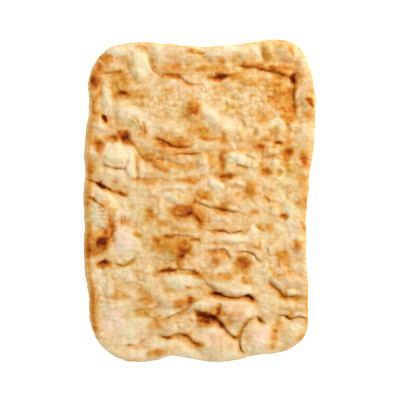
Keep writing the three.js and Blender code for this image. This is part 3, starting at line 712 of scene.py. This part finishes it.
print(len(OLIVE_SKIN), "olive areas and", len(ROSY_SKIN), "rosy ones")

# %% [markdown]
# ## Small bumps
# Between the big shapes the skin is covered in small bumps, from gas that reached the surface: some
# as wide as a fingertip, some like grains. Thousands of small objects could be scattered on it, but
# dough is one skin, so each bump is a dome on a loosely shuffled lattice. None line up, and each has its
# own size and height.

# %% Bump helper
def bumps(x, y, pitch, seed):
    """The highest of the small domes around each point. Every cell of a square lattice holds one dome,
    moved at random inside its cell, with a radius of 0.45 to 0.8 of the pitch and a height of 0 to 1."""
    cell_x, cell_y = np.floor(x / pitch), np.floor(y / pitch)
    top = np.zeros_like(x)
    for a in (-1, 0, 1):
        for b in (-1, 0, 1):
            bits = scramble((cell_x + a + 500).astype(np.int64), (cell_y + b + 500).astype(np.int64), 0, seed)
            shares = [((bits >> shift) & 255) / 255 for shift in (0, 8, 16, 24)]
            middle_x = (cell_x + a + 0.15 + 0.7 * shares[0]) * pitch
            middle_y = (cell_y + b + 0.15 + 0.7 * shares[1]) * pitch
            reach = pitch * (0.45 + 0.35 * shares[2])
            inside = np.clip(1 - ((x - middle_x) ** 2 + (y - middle_y) ** 2) / reach ** 2, 0, None)
            top = np.maximum(top, shares[3] * inside ** 1.5)
    return top


# %% [markdown]
# ## The top skin
# The top is one function of x and y, added up from three layers. The broad layer is plain crust, the
# rise towards the rim, and pillows less hollows. The folds lie on it. The small relief has bumps as wide
# as a fingertip, grains, crinkles, which are short creases across the slab where drying skin shrank, and
# thin valleys between bumps. Displace modifiers could stack such layers, but then none of them could
# brown the crust. Browning is added up the same way as the height, and slopes that face the front left,
# away from the lamp, are a little browner and those facing the lamp a little paler: painted shade and
# painted light. The places of all shapes are first shaken by a little noise, which turns every neat
# ellipse into an uneven blob.

# %% The broad layer
CRUMB_HEIGHT = 11.6
RIM_RISE = 2.6
RIM_REACH = 30
PILLOW_SCALE = 1.2
PILLOW_FULLNESS = 1.4
HOLLOW_SCALE = 1.15
HOLLOW_FULLNESS = 1.7
SWELL_HEIGHT = 1.3
# amount, size, and the seeds that move x and y
PILLOW_SHAKE = [(2.2, 17, 11, 21), (0.9, 7, 12, 22)]


def broad_height(x, y):
    """The large shapes: crust, plus the rise of the rim, plus pillows, less hollows, plus soft swells."""
    shaken_x, shaken_y = shaken(x, y, PILLOW_SHAKE)
    height = CRUMB_HEIGHT + RIM_RISE * (1 - ramp(inside_edge(x, y), 0, RIM_REACH))
    height = height + PILLOW_SCALE * pile(shaken_x, shaken_y, PILLOWS, PILLOW_FULLNESS)
    height = height - HOLLOW_SCALE * pile(shaken_x, shaken_y, HOLLOWS, HOLLOW_FULLNESS)
    return height + SWELL_HEIGHT * lumps(x, y, 22, 3, 51)


# %% The small relief
# each height is in mm where the bump is full and the skin rough, and each browning goes with it: painted
# light on what stands up and painted shade in what lies low
FINGERTIP_HEIGHT, FINGERTIP_LIGHT_AND_SHADE = 1.9, -0.22
GRAIN_HEIGHT, GRAIN_LIGHT_AND_SHADE = 0.6, -0.12
CRINKLE_HEIGHT, CRINKLE_LIGHT_AND_SHADE = 0.75, -0.13
VALLEY_HEIGHT, VALLEY_PAINTED_SHADE = -0.9, 0.10
PLAIN_ROUGHNESS = 0.55
BUMP_SHAKE = [(2.0, 17, 11, 21), (0.9, 7, 12, 22)]
FINE_SHAKE = [(0.7, 9, 31, 32)]


def crinkles(x, y, rough):
    """Short creases across the slab: noise that is stretched 2.5 times across and bent by slower noise,
    times a strength that is high where still slower noise is high and the skin rough."""
    bent_x = 0.4 * x + 2 * noise(x, y, 18, 62)
    bent_y = y + 6 * noise(x, y, 45, 63)
    strength = np.clip(0.55 + 1.1 * noise(x, y, 28, 64), 0.15, 1.1) * np.clip(rough, 0.4, 1)
    return strength * (noise(bent_x, bent_y, 4.4, 65) + 0.4 * noise(bent_x, bent_y, 2.8, 66))


def small_relief(x, y):
    """Height and browning of bumps, grains, crinkles and valleys, each times how rough the skin is. The
    browning is painted light and shade: paler where they stand up and browner where they lie low, as in
    the valleys. A valley runs where slow noise passes through zero."""
    bump_x, bump_y = shaken(x, y, BUMP_SHAKE)
    fine_x, fine_y = shaken(x, y, FINE_SHAKE)
    rough = PLAIN_ROUGHNESS + areas(x, y, ROUGH_SKIN)
    rough = rough * np.clip(1 - areas(x, y, SMOOTH_SKIN), 0.15, 1)
    bumpy = np.clip(rough, 0.3, 1)
    fingertips = bumps(bump_x, bump_y, 15, 5) + 0.6 * bumps(bump_x, bump_y, 9, 6)
    grains = bumps(fine_x, fine_y, 5.2, 7) + 0.5 * noise(x, y, 3.2, 41)
    crinkled = crinkles(x, y, rough)
    from_zero = abs(noise(bump_x, bump_y, 13, 61))
    height = FINGERTIP_HEIGHT * fingertips * bumpy + GRAIN_HEIGHT * rough * grains
    height = height + CRINKLE_HEIGHT * crinkled
    height = height + VALLEY_HEIGHT * rough * np.clip(1 - from_zero / 0.16, 0, 1)
    # painted light on raised bumps, grains and crinkles, and painted shade in the valleys
    browning = FINGERTIP_LIGHT_AND_SHADE * (fingertips - 0.5) * bumpy + GRAIN_LIGHT_AND_SHADE * (grains - 0.3) * rough
    browning = browning + CRINKLE_LIGHT_AND_SHADE * crinkled
    browning = browning + VALLEY_PAINTED_SHADE * rough * np.clip(1 - from_zero / 0.3, 0, 1)
    return height, browning


# %% Plain and patched browning
PLAIN_BROWNING = 0.22
# painted shade in a band inside the left edge, and painted light that makes the front edge paler
LEFT_BAND_PAINTED_SHADE = 0.30
FRONT_BAND_PAINTED_LIGHT = -0.14
CORE_SHARE, CORE_POWER = 0.72, 0.6
GLOW_SHARE, GLOW_POWER, GLOW_WIDTH = 0.28, 2, 1.8


def plain_browning(x, y):
    """Browning before any shape: plain crust, a browner band just inside the left edge that is painted
    shade, a paler front edge that is painted light, and slow and quick drifts of noise."""
    to_edge = inside_edge(x, y)
    on_left = ramp(-x / HALF_WIDTH, 0.3, 0.8) * (1 - ramp(abs(y) / HALF_LENGTH, 0.72, 0.88))
    shaded_left_band = ramp(to_edge, 2, 6) * (1 - ramp(to_edge, 7, 13)) * on_left
    lit_front_band = (1 - ramp(to_edge, 1, 8)) * ramp(-y / HALF_LENGTH, 0.8, 0.9)
    bands = LEFT_BAND_PAINTED_SHADE * shaded_left_band + FRONT_BAND_PAINTED_LIGHT * lit_front_band
    return PLAIN_BROWNING + bands + 0.09 * lumps(x, y, 30, 2, 71) + 0.08 * lumps(x, y, 8, 3, 81)


def patch_browning(x, y):
    """The sum of all patches: each is an amount times a steep-sided core plus a wider, softer glow."""
    # the patches hold painted light and painted shade as well as the crust's own toasting and flour
    total = np.zeros_like(x)
    for amount, middle_x, middle_y, half_width, half_length, *turned in PATCHES:
        core = dome(x, y, (middle_x, middle_y, half_width, half_length, *turned), CORE_POWER)
        wide = (middle_x, middle_y, GLOW_WIDTH * half_width, GLOW_WIDTH * half_length, *turned)
        total = total + amount * (CORE_SHARE * core + GLOW_SHARE * dome(x, y, wide, GLOW_POWER))
    return total


# %% The top as a function
LOWEST_CRUST = 4.5
# slopes that face the front left, away from the lamp, get more browning and those facing the lamp less:
# painted shade and painted light
AWAY_FROM_LAMP = np.radians(225)
SLOPE_STEP = 4.5
SLOPE_LIGHT_AND_SHADE = 0.30
STAIN_SHAKE = [(2.2, 10, 73, 74), (1.0, 4, 76, 77)]


def slope_away_from_lamp(x, y, height):
    """Painted light and shade by slope: how much higher the broad layer is one step towards the lamp,
    divided by the step. It is above zero on slopes that face away from the lamp, which are browned as
    painted shade, and below zero on slopes that face it."""
    behind_x = x - SLOPE_STEP * np.cos(AWAY_FROM_LAMP)
    behind_y = y - SLOPE_STEP * np.sin(AWAY_FROM_LAMP)
    return (broad_height(behind_x, behind_y) - height) / SLOPE_STEP


def top_skin(x, y):
    """Height, sideways push, browning, painted shade and rosiness of the top at x, y. The browning holds
    painted light and shade too.
    """
    broad = broad_height(x, y)
    fold_height, push_x, push_y, dark, fold_light_and_shade = folds(*shaken(x, y, FINE_SHAKE))
    small_height, small_light_and_shade = small_relief(x, y)
    height = np.maximum(broad + fold_height + small_height, LOWEST_CRUST)
    stain_x, stain_y = shaken(x, y, STAIN_SHAKE, start=shaken(x, y, BUMP_SHAKE))
    browning = plain_browning(x, y) + patch_browning(stain_x, stain_y)
    # painted light and shade: browner on slopes away from the lamp, in creases and in valleys, paler on
    # ridges and raised bumps
    browning = browning + SLOPE_LIGHT_AND_SHADE * np.clip(slope_away_from_lamp(x, y, broad), -0.35, 0.9)
    browning = browning + fold_light_and_shade + small_light_and_shade
    broken = np.clip(0.6 + 0.9 * noise(x, y, 11, 75), 0.3, 1)
    return height, push_x, push_y, browning, dark * broken, rosiness(stain_x, stain_y)


# %% [markdown]
# ## The grid of the top
# The top is a grid of about 1.2 mm squares. A subdivided sphere or a remeshed block could cover it too,
# but a grid keeps its squares even where all the detail is. It is pulled along the rays from the middle
# until its border lies on the outline, set in by the width of the rounded edge. The pull fades towards
# the middle, where the squares stay square.

# %% Lay the grid
ACROSS, ALONG = 220, 304
EDGE_ROUND = 9.0


def laid_grid(across, along, inset):
    """Points of a grid inside the outline. The rectangle point (s a, t b), with s and t from -1 to 1,
    is moved along its ray by 1 + (R / Q - 1) m^4, with R the distance to the outline on that ray, Q the
    distance to the rectangle's edge and m the larger of |s| and |t|."""
    s, t = np.meshgrid(np.linspace(-1, 1, across + 1), np.linspace(-1, 1, along + 1))
    x, y = s * (HALF_WIDTH - inset), t * (HALF_LENGTH - inset)
    m = np.maximum(abs(s), abs(t))
    direction = np.arctan2(y, x)
    to_rectangle = np.hypot(x, y) / np.maximum(m, 1e-9)
    pull = 1 + (line_inside(inset)(direction) / np.maximum(to_rectangle, 1e-9) - 1) * m ** 4
    return x * pull, y * pull


def border(grid):
    """The values on the border of a grid, anticlockwise from its front right corner."""
    return np.concatenate([grid[:-1, -1], grid[-1, :0:-1], grid[:0:-1, 0], grid[0, :-1]])


grid_x, grid_y = laid_grid(ACROSS, ALONG, EDGE_ROUND)
top_height, push_x, push_y, *top_colour = top_skin(grid_x, grid_y)
on_tray = np.zeros_like(grid_x)
top = np.stack([grid_x + push_x, grid_y + push_y, top_height, *top_colour, on_tray])
print("the top runs from", top_height.min().round(1), "to", top_height.max().round(1), "mm high")

# %% [markdown]
# ## The rounded edge
# The edge is the top's border carried down and round to the foot. A Bevel modifier would round it too
# evenly. Its profile is a quarter of an ellipse from the top out to the widest line, and another quarter
# back in to the foot, and each point is then pushed out or in by noise, so that the side is lumpy too. A
# shallow groove runs along under the widest line, where the crust of the side tore away from the crust
# that the tray held; it is browner and darkened with painted shade. The side is browner near the foot.
# It is a little paler on the left and the front, which is painted light against the shade those sides
# get, and it has a faint painted shade on the left of its outermost line.

# %% Carry the edge round
EDGE_STEPS = 12
FOOT_INSET = 7.0
SHOULDER = 0.78
TEAR_ANGLE = 22
TEAR_WANDER = 9
TEAR_WIDTH = 9
TEAR_DEPTH = 1.1

rim_line = np.stack([border(grid_x), border(grid_y)], axis=1)
rim_out = ring_mean(-inward(rim_line), 4)
rim_out /= np.linalg.norm(rim_out, axis=1, keepdims=True)
out_x, out_y = rim_out.T


def torn(x, y, angle):
    """How deeply the side is torn, from 0 to 1, at a profile angle in radians: exp(-(a / width)^2), with
    a the degrees from a line that wanders a little, times slow noise that leaves stretches untorn."""
    from_tear = np.degrees(angle) + TEAR_ANGLE + TEAR_WANDER * noise(x, y, 20, 96)
    return np.exp(-(from_tear / TEAR_WIDTH) ** 2) * np.clip(0.5 + noise(x, y, 26, 97), 0, 1)


def side_browning(browning, top_share, side, upper):
    """Browning of the edge: the top's own fades out down the side, and there is a little more on the
    outermost line, less of it towards the left and the front, which is painted light, and more again
    close to the foot."""
    to_left, to_front = np.clip(-out_x, 0, 1), np.clip(-out_y, 0, 1)
    outermost = (0.10 - 0.06 * to_left - 0.12 * to_front) * ramp(side, 0.3, 0.9)
    near_foot = 0 if upper else 0.28 * (1 - side) + 0.12
    return browning * (0.4 + 0.6 * top_share) + 0.12 * (1 - top_share) + outermost + near_foot


def edge_ring(step):
    """One ring of the edge: the profile angle goes from straight up at step 0 to straight down, the
    point lies at the cosine of the angle outwards and at its sine up or down from the widest line,
    both raised to a power below 1, which makes the ellipse a little square-shouldered."""
    angle = np.pi / 2 - np.pi * step / EDGE_STEPS
    upper = angle >= 0
    side = max(np.cos(angle), 0) ** SHOULDER
    out = EDGE_ROUND * side if upper else EDGE_ROUND - FOOT_INSET * (1 - side)
    x, y = (rim_line + out * rim_out).T
    height, lean_x, lean_y, browning, dark, rosy = top_skin(x, y)
    rise = height - WIDEST_HEIGHT if upper else WIDEST_HEIGHT
    z = WIDEST_HEIGHT + rise * np.sign(angle) * abs(np.sin(angle)) ** SHOULDER
    tear = torn(x, y, angle)
    swell = side * (0.9 * lumps(x, y, 14, 3, 91, z) + 0.5 * noise(x, y, 4, 95, z)) - TEAR_DEPTH * tear
    top_share = max(np.sin(angle), 0)
    x = x + swell * out_x + top_share * lean_x
    y = y + swell * out_y + top_share * lean_y
    z = np.maximum(z + 0.35 * side * noise(x, y, 9, 98, z), 0)
    # the tear is browner and darkened with painted shade, and left_shade is a faint painted shade on the left
    # of the outermost line
    browning = side_browning(browning, top_share, side, upper) + 0.15 * tear
    left_shade = 0.03 * np.clip(-out_x, 0, 1) ** 2 * ramp(side, 0.3, 0.9)
    dark = np.maximum.reduce([dark * top_share, 0.35 * tear, left_shade])
    return np.stack([x, y, z, browning, dark, rosy, 1 - ramp(z, 0.5, 5)])


rings = [edge_ring(step) for step in range(1, EDGE_STEPS + 1)]
print(len(rings), "rings of", len(rim_line), "points round the edge")

# %% [markdown]
# ## The side that lay on the tray
# The underside is flat, because the tray held it, and it carries most of the slab on the same level.
# Where steam was trapped between dough and tray, it baked into shallow hollows that stayed pale,
# while the dough that touched the hot metal went evenly brown. A plain flat face would be enough to
# stand on, but a base is turned over to be looked at, so it has its own function and its own grid, with
# squares twice as large.

# %% The underside as a function
UNDER_INSET = 3.0
TRAY_BROWNING = 0.58
STEAM_HEIGHT, STEAM_BROWNING = 0.9, -0.24
HOLE_HEIGHT, HOLE_BROWNING = 0.7, -0.12
STEAM_SHAKE = [(3, 20, 111, 112)]


def underside(x, y):
    """Height above the tray and browning: shallow pits where slow noise is high, small round holes, fine
    ripples, none of them near the foot, and browning that is less wherever the tray didn't touch."""
    inner = ramp(inside_edge(x, y), 10, 20)
    steam_x, steam_y = shaken(x, y, STEAM_SHAKE)
    steam = ramp(lumps(steam_x, steam_y, 42, 3, 121), 0.05, 0.55)
    holes = ramp(bumps(steam_x, steam_y, 17, 131), 0.55, 0.85)
    ripples = 0.12 * np.clip(lumps(x, y, 9, 2, 141), 0, None)
    height = inner * (STEAM_HEIGHT * steam + HOLE_HEIGHT * holes + ripples)
    browning = TRAY_BROWNING + STEAM_BROWNING * steam + HOLE_BROWNING * holes
    browning = browning + 0.10 * lumps(x, y, 34, 3, 151) + 0.07 * lumps(x, y, 7, 2, 161)
    return height, browning


under_x, under_y = laid_grid(ACROSS // 2, ALONG // 2, FOOT_INSET + UNDER_INSET)
under_height, under_browning = underside(under_x, under_y)
nothing, whole = np.zeros_like(under_x), np.ones_like(under_x)
under = np.stack([under_x, under_y, under_height, under_browning, nothing, nothing, whole])
print("steam lifted", round(float((under_height > 0.3).mean()) * 100), "% of the underside")

# %% [markdown]
# ## One closed skin
# The top grid, the rings of the edge and the underside are sewn into one mesh, because three meshes
# that only touch would show a seam. The underside has half as many squares each way, so the strip that
# joins it to the foot has three triangles for each of its squares. Every face is turned outwards:
# anticlockwise as seen from outside.

# %% Sewing helpers
def grid_faces(number, flipped):
    """Four-cornered faces of a grid of point numbers, seen anticlockwise from above, or from below."""
    corners_of = [number[:-1, :-1], number[:-1, 1:], number[1:, 1:], number[1:, :-1]]
    if flipped:
        corners_of.reverse()
    return np.stack([c.ravel() for c in corners_of], axis=1)


def strip_faces(upper, lower):
    """Four-cornered faces between two closed rings of point numbers, facing away from the middle."""
    return np.stack([lower, np.roll(lower, -1), np.roll(upper, -1), upper], axis=1)


def joining_faces(foot, inner):
    """Triangles between the foot ring and the underside's border, which has half as many points. For
    each stretch of the border there are three: one on it, and one on each of two stretches of the foot."""
    foot_a, foot_b, foot_c = foot[0::2], foot[1::2], np.roll(foot, -2)[0::2]
    inner_next = np.roll(inner, -1)
    triangles = [(foot_a, inner, foot_b), (foot_b, inner, inner_next), (foot_b, inner_next, foot_c)]
    return np.concatenate([np.stack(triangle, axis=1) for triangle in triangles])


# %% Sew the skin together
top_number = np.arange(grid_x.size).reshape(grid_x.shape)
ring_number = [border(top_number)]
for n in range(EDGE_STEPS):
    ring_number.append(grid_x.size + n * len(rim_line) + np.arange(len(rim_line)))
under_number = ring_number[-1][-1] + 1 + np.arange(under_x.size).reshape(under_x.shape)
joining = joining_faces(ring_number[-1], border(under_number))
squares = np.concatenate(
    [grid_faces(top_number, False), grid_faces(under_number, True)]
    + [strip_faces(upper, lower) for upper, lower in zip(ring_number[:-1], ring_number[1:])])

skin_values = np.concatenate([top.reshape(len(top), -1), *rings, under.reshape(len(under), -1)], axis=1)
skin = bpy.data.meshes.new("baked_crust")
skin.from_pydata((skin_values[:3].T * MM).tolist(), [], squares.tolist() + joining.tolist())
skin.polygons.foreach_set("use_smooth", np.ones(len(skin.polygons), bool))
for name, values in zip(("browning", "painted_shade", "rosiness", "tray_side"), skin_values[3:]):
    layer = skin.attributes.new(name, "FLOAT", "POINT")
    layer.data.foreach_set("value", values.astype(np.float32))
skin.validate()
skin.update()
crust = bpy.data.objects.new("baked_crust", skin)
bpy.context.scene.collection.objects.link(crust)
print("the skin has", 2 * len(squares) + len(joining), "triangles")

# %% [markdown]
# ## The finish of the crust
# The colour is a ramp over browning, from floury cream through gold and brown to nearly black. Fine
# noise is added to the browning first, so that every patch breaks up into specks, and thin wrinkles of
# dried skin are a little browner. A slow drift makes some crust pinker and some yellower, on top of the
# rosy and olive areas, and painted shade darkens the bottoms of creases, the tear in the edge and the
# left edge. Baked dough is matt and full of pores, which are bump, because they are smaller than the
# squares of the mesh. All of it is made of nodes rather than a picture, so it stays sharp from close up.

# %% Node helpers
def fill(node, inputs):
    """Fills a node's inputs with numbers, colours or other nodes' outputs."""
    for name, value in inputs.items():
        if isinstance(value, bpy.types.NodeSocket):
            node.id_data.links.new(value, node.inputs[name])
        else:
            node.inputs[name].default_value = value


def put(tree, kind, inputs=None, **settings):
    """Adds a node, sets its settings and fills its inputs."""
    made = tree.nodes.new(kind)
    for name, value in settings.items():
        setattr(made, name, value)
    fill(made, inputs or {})
    return made


def attribute(tree, name):
    """One of the numbers that the mesh holds at each point."""
    return put(tree, "ShaderNodeAttribute", attribute_name=name).outputs["Fac"]


def grain_of(tree, where, size, detail, rough=0.5):
    """Noise with lumps about size millimetres across, from 0 to 1."""
    inputs = {"Vector": where, "Scale": 1 / (size * MM), "Detail": detail, "Roughness": rough}
    return put(tree, "ShaderNodeTexNoise", inputs).outputs["Fac"]


def maths(tree, operation, a, b=0.0, clamp=False):
    """One sum on two numbers or two nodes' outputs."""
    return put(tree, "ShaderNodeMath", {0: a, 1: b}, operation=operation, use_clamp=clamp).outputs[0]


def added(tree, value, amount, other):
    """value plus amount times other."""
    return maths(tree, "ADD", value, maths(tree, "MULTIPLY", other, amount))


def centred(tree, value, amount):
    """A value from 0 to 1 made to swing by amount around zero."""
    return maths(tree, "MULTIPLY", maths(tree, "SUBTRACT", value, 0.5), amount)


def between(tree, value, start, end, low=0.0, high=1.0):
    """low where value is at start, high where it is at end, a straight line between and level outside."""
    return put(tree, "ShaderNodeMapRange", {"Value": value, 1: start, 2: end, 3: low, 4: high}).outputs[0]


def blended(tree, share, a, b, how="MIX"):
    """Mixes colour a with colour b by share."""
    inputs = {0: share, 6: a, 7: b}
    return put(tree, "ShaderNodeMix", inputs, data_type="RGBA", blend_type=how).outputs[2]


# %% Browning with its specks and wrinkles
STRETCH = (0.45, 1.0, 1.0)
SPECK_SIZE, SPECK_BROWNING = 1.6, 0.11
BLOTCH_SIZE, BLOTCH_BROWNING = 4, 0.19
WRINKLE_SIZE, WRINKLE_BROWNING = 6, 0.06
WRINKLE_WIDTH = 0.12
WRINKLE_AREA_SIZE = 7
# painted shade in creases adds this much browning
CREASE_SHADE_BROWNING = 0.38


def wrinkled(tree, where, stretched):
    """Thin wrinkles from 0 to 1: where noise passes through its middle value, in some areas only, and not
    on the side that lay on the tray."""
    swing = centred(tree, grain_of(tree, stretched, WRINKLE_SIZE, 2, 0.6), 2.0)
    thin = between(tree, maths(tree, "ABSOLUTE", swing), 0.0, WRINKLE_WIDTH, 1.0, 0.0)
    here = between(tree, grain_of(tree, where, WRINKLE_AREA_SIZE, 1), 0.5, 0.6)
    off_tray = maths(tree, "SUBTRACT", 1.0, attribute(tree, "tray_side"))
    return maths(tree, "MULTIPLY", maths(tree, "MULTIPLY", thin, here), off_tray)


def fine_browning(tree, where, stretched, wrinkles):
    """The mesh's browning, plus wrinkles, painted shade in creases, specks and blotches, kept between 0 and
    1.
    """
    browner = added(tree, attribute(tree, "browning"), WRINKLE_BROWNING, wrinkles)
    browner = added(tree, browner, CREASE_SHADE_BROWNING, attribute(tree, "painted_shade"))
    specks = centred(tree, grain_of(tree, where, SPECK_SIZE, 4, 0.65), SPECK_BROWNING)
    blotches = centred(tree, grain_of(tree, stretched, BLOTCH_SIZE, 3, 0.6), BLOTCH_BROWNING)
    return maths(tree, "ADD", maths(tree, "ADD", browner, specks), blotches, clamp=True)


# %% The colours of the crust
CRUST_COLOURS = [
    (0.00, (0.91, 0.77, 0.53)), (0.16, (0.87, 0.65, 0.39)), (0.30, (0.80, 0.535, 0.25)),
    (0.43, (0.75, 0.41, 0.117)), (0.56, (0.70, 0.292, 0.044)), (0.68, (0.60, 0.184, 0.019)),
    (0.80, (0.42, 0.098, 0.009)), (0.90, (0.27, 0.050, 0.005)), (1.00, (0.14, 0.022, 0.003)),
]
PINKER = (1.05, 0.94, 0.96, 1)
YELLOWER = (0.96, 1.03, 0.87, 1)
# the colour and the largest share of the painted shade in crease bottoms, the edge's tear and the left edge
CREASE_SHADE_COLOUR = (0.14, 0.036, 0.003, 1)
CREASE_SHADE_SHARE = 0.8
DRIFT_SIZE = 22
DRIFT_SWING = 1.2
ROSY_SHARE = 0.5


def crust_ramp(tree, browned):
    """The colour that belongs to each browning."""
    made = put(tree, "ShaderNodeValToRGB", {"Fac": browned})
    stops = made.color_ramp.elements
    for stop, (position, colour) in zip((stops[0], stops[1]), (CRUST_COLOURS[0], CRUST_COLOURS[-1])):
        stop.position = position
        stop.color = (*colour, 1)
    for position, colour in CRUST_COLOURS[1:-1]:
        stops.new(position).color = (*colour, 1)
    return made.outputs[0]


def crust_colour(tree, where, browned):
    """The ramp's colour, tinted from yellower to pinker, and darkened with painted shade in the bottoms of
    creases, in the edge's tear and on the left edge.
    """
    plain = crust_ramp(tree, browned)
    drift = maths(tree, "ADD", centred(tree, grain_of(tree, where, DRIFT_SIZE, 2), DRIFT_SWING), 0.5)
    rosy = maths(tree, "MULTIPLY", attribute(tree, "rosiness"), ROSY_SHARE)
    pinkness = maths(tree, "ADD", drift, rosy, clamp=True)
    pinker = blended(tree, 1.0, plain, PINKER, "MULTIPLY")
    yellower = blended(tree, 1.0, plain, YELLOWER, "MULTIPLY")
    # painted shade: where the mesh holds it, the colour goes towards the dark shade colour
    deep = between(tree, attribute(tree, "painted_shade"), 0.15, 1.0, 0.0, CREASE_SHADE_SHARE)
    return blended(tree, deep, blended(tree, pinkness, yellower, pinker), CREASE_SHADE_COLOUR)


# %% The crust material
PORE_SIZE, KNOB_SIZE = 0.9, 2.4
PORE_SHARE = 0.35
WRINKLE_DEPTH = 0.25
BUMP_DISTANCE = 1.15
BUMP_STRENGTH, TRAY_BUMP_STRENGTH = 0.85, 0.4
PALE_ROUGHNESS, BROWN_ROUGHNESS = 0.86, 0.58


def pored(tree, where, stretched, wrinkles):
    """The bump: knobs and pores less wrinkles, and weaker on the side that lay on the tray."""
    knobs = grain_of(tree, stretched, KNOB_SIZE, 3, 0.55)
    relief = added(tree, knobs, PORE_SHARE, grain_of(tree, where, PORE_SIZE, 3, 0.6))
    relief = added(tree, relief, -WRINKLE_DEPTH, wrinkles)
    strength = between(tree, attribute(tree, "tray_side"), 0, 1, BUMP_STRENGTH, TRAY_BUMP_STRENGTH)
    inputs = {"Height": relief, "Distance": BUMP_DISTANCE * MM, "Strength": strength}
    return put(tree, "ShaderNodeBump", inputs).outputs[0]


def baked_crust():
    """Matt bread crust, less matt where it is browner, that lets a little light through."""
    material = bpy.data.materials.new("baked_crust")
    material.use_nodes = True
    tree = material.node_tree
    where = put(tree, "ShaderNodeTexCoord").outputs["Object"]
    stretched = put(tree, "ShaderNodeMapping", {"Vector": where, "Scale": STRETCH}).outputs[0]
    wrinkles = wrinkled(tree, where, stretched)
    browned = fine_browning(tree, where, stretched, wrinkles)
    fill(tree.nodes["Principled BSDF"], {
        "Base Color": crust_colour(tree, where, browned),
        "Roughness": between(tree, browned, 0.3, 0.9, PALE_ROUGHNESS, BROWN_ROUGHNESS),
        "Normal": pored(tree, where, stretched, wrinkles),
        "Specular IOR Level": 0.06,
        "Subsurface Weight": 0.12,
        "Subsurface Radius": (1.0, 0.45, 0.18),
        "Subsurface Scale": 0.003,
    })
    return material


crust.data.materials.append(baked_crust())
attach(crust, "root")
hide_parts("pizza_base")
print("the crust has its finish, in", len(crust.data.materials[0].node_tree.nodes), "nodes")

# %% [markdown]
# ## The table, the light and the camera
# The slab lies on a plain white table that glows a little, so that it stays even and nearly white. One
# large soft lamp stands to the back right, 44 degrees up, so that pillows are bright on that side and
# each fold throws its shade to the front left. A sky picture could light it as well, but one lamp is
# easier to aim, and a pale surround fills the shade. The camera looks straight down through a long lens,
# which keeps both ends of the slab the same size.

# %% Table
TABLE_HALF = 3.0
TABLE_GAP = 0.0004
TABLE_GLOW = 0.7

table_mesh = bpy.data.meshes.new("table")
table_corners = [
    (x * TABLE_HALF, y * TABLE_HALF, -TABLE_GAP) for x, y in ((-1, -1), (1, -1), (1, 1), (-1, 1))]
table_mesh.from_pydata(table_corners, [], [(0, 1, 2, 3)])
table = bpy.data.objects.new("table", table_mesh)
white_table = bpy.data.materials.new("white_table")
white_table.use_nodes = True
fill(white_table.node_tree.nodes["Principled BSDF"], {
    "Base Color": (0.93, 0.93, 0.93, 1),
    "Roughness": 0.9,
    "Emission Color": (1, 1, 1, 1),
    "Emission Strength": TABLE_GLOW,
})
table.data.materials.append(white_table)
bpy.context.scene.collection.objects.link(table)
print("the table is", 2 * TABLE_HALF, "m wide")

# %% Light
LAMP_AZIMUTH = np.radians(40)
LAMP_HEIGHT = np.radians(44)
LAMP_AWAY = 1.5
LAMP_SIZE = 0.45
LAMP_POWER = 15.2
SURROUND_STRENGTH = 0.60

lamp_data = bpy.data.lights.new("soft_lamp", "AREA")
lamp_data.shape = "DISK"
lamp_data.size = LAMP_SIZE
lamp_data.energy = LAMP_POWER
lamp_data.color = (1.0, 0.97, 0.93)
lamp = bpy.data.objects.new("soft_lamp", lamp_data)
lamp.location = LAMP_AWAY * Vector((
    np.cos(LAMP_HEIGHT) * np.cos(LAMP_AZIMUTH), np.cos(LAMP_HEIGHT) * np.sin(LAMP_AZIMUTH),
    np.sin(LAMP_HEIGHT)))
lamp.rotation_euler = (-lamp.location).to_track_quat("-Z", "Y").to_euler()
bpy.context.scene.collection.objects.link(lamp)

world = bpy.data.worlds.new("pale_surround")
world.use_nodes = True
fill(world.node_tree.nodes["Background"], {
    "Color": (0.97, 0.985, 1.0, 1),
    "Strength": SURROUND_STRENGTH,
})
bpy.context.scene.world = world
bpy.context.scene.view_settings.view_transform = "Standard"
print("the lamp stands", [round(part, 2) for part in lamp.location], "m from the slab")

# %% Camera
LENS = 100
SENSOR = 36
VIEW_PER_LENGTH = 1.235
VIEW_WIDTH = VIEW_PER_LENGTH * 2 * HALF_LENGTH * MM
VIEW_MIDDLE = (0.4 * MM, 1.2 * MM)

camera_data = bpy.data.cameras.new("overhead_camera")
camera_data.lens = LENS
camera_data.sensor_width = SENSOR
camera = bpy.data.objects.new("overhead_camera", camera_data)
camera.location = (*VIEW_MIDDLE, CRUMB_HEIGHT * MM + VIEW_WIDTH * LENS / SENSOR)
bpy.context.scene.collection.objects.link(camera)
bpy.context.scene.camera = camera
print("the camera hangs", round(camera.location.z, 2), "m above the table")
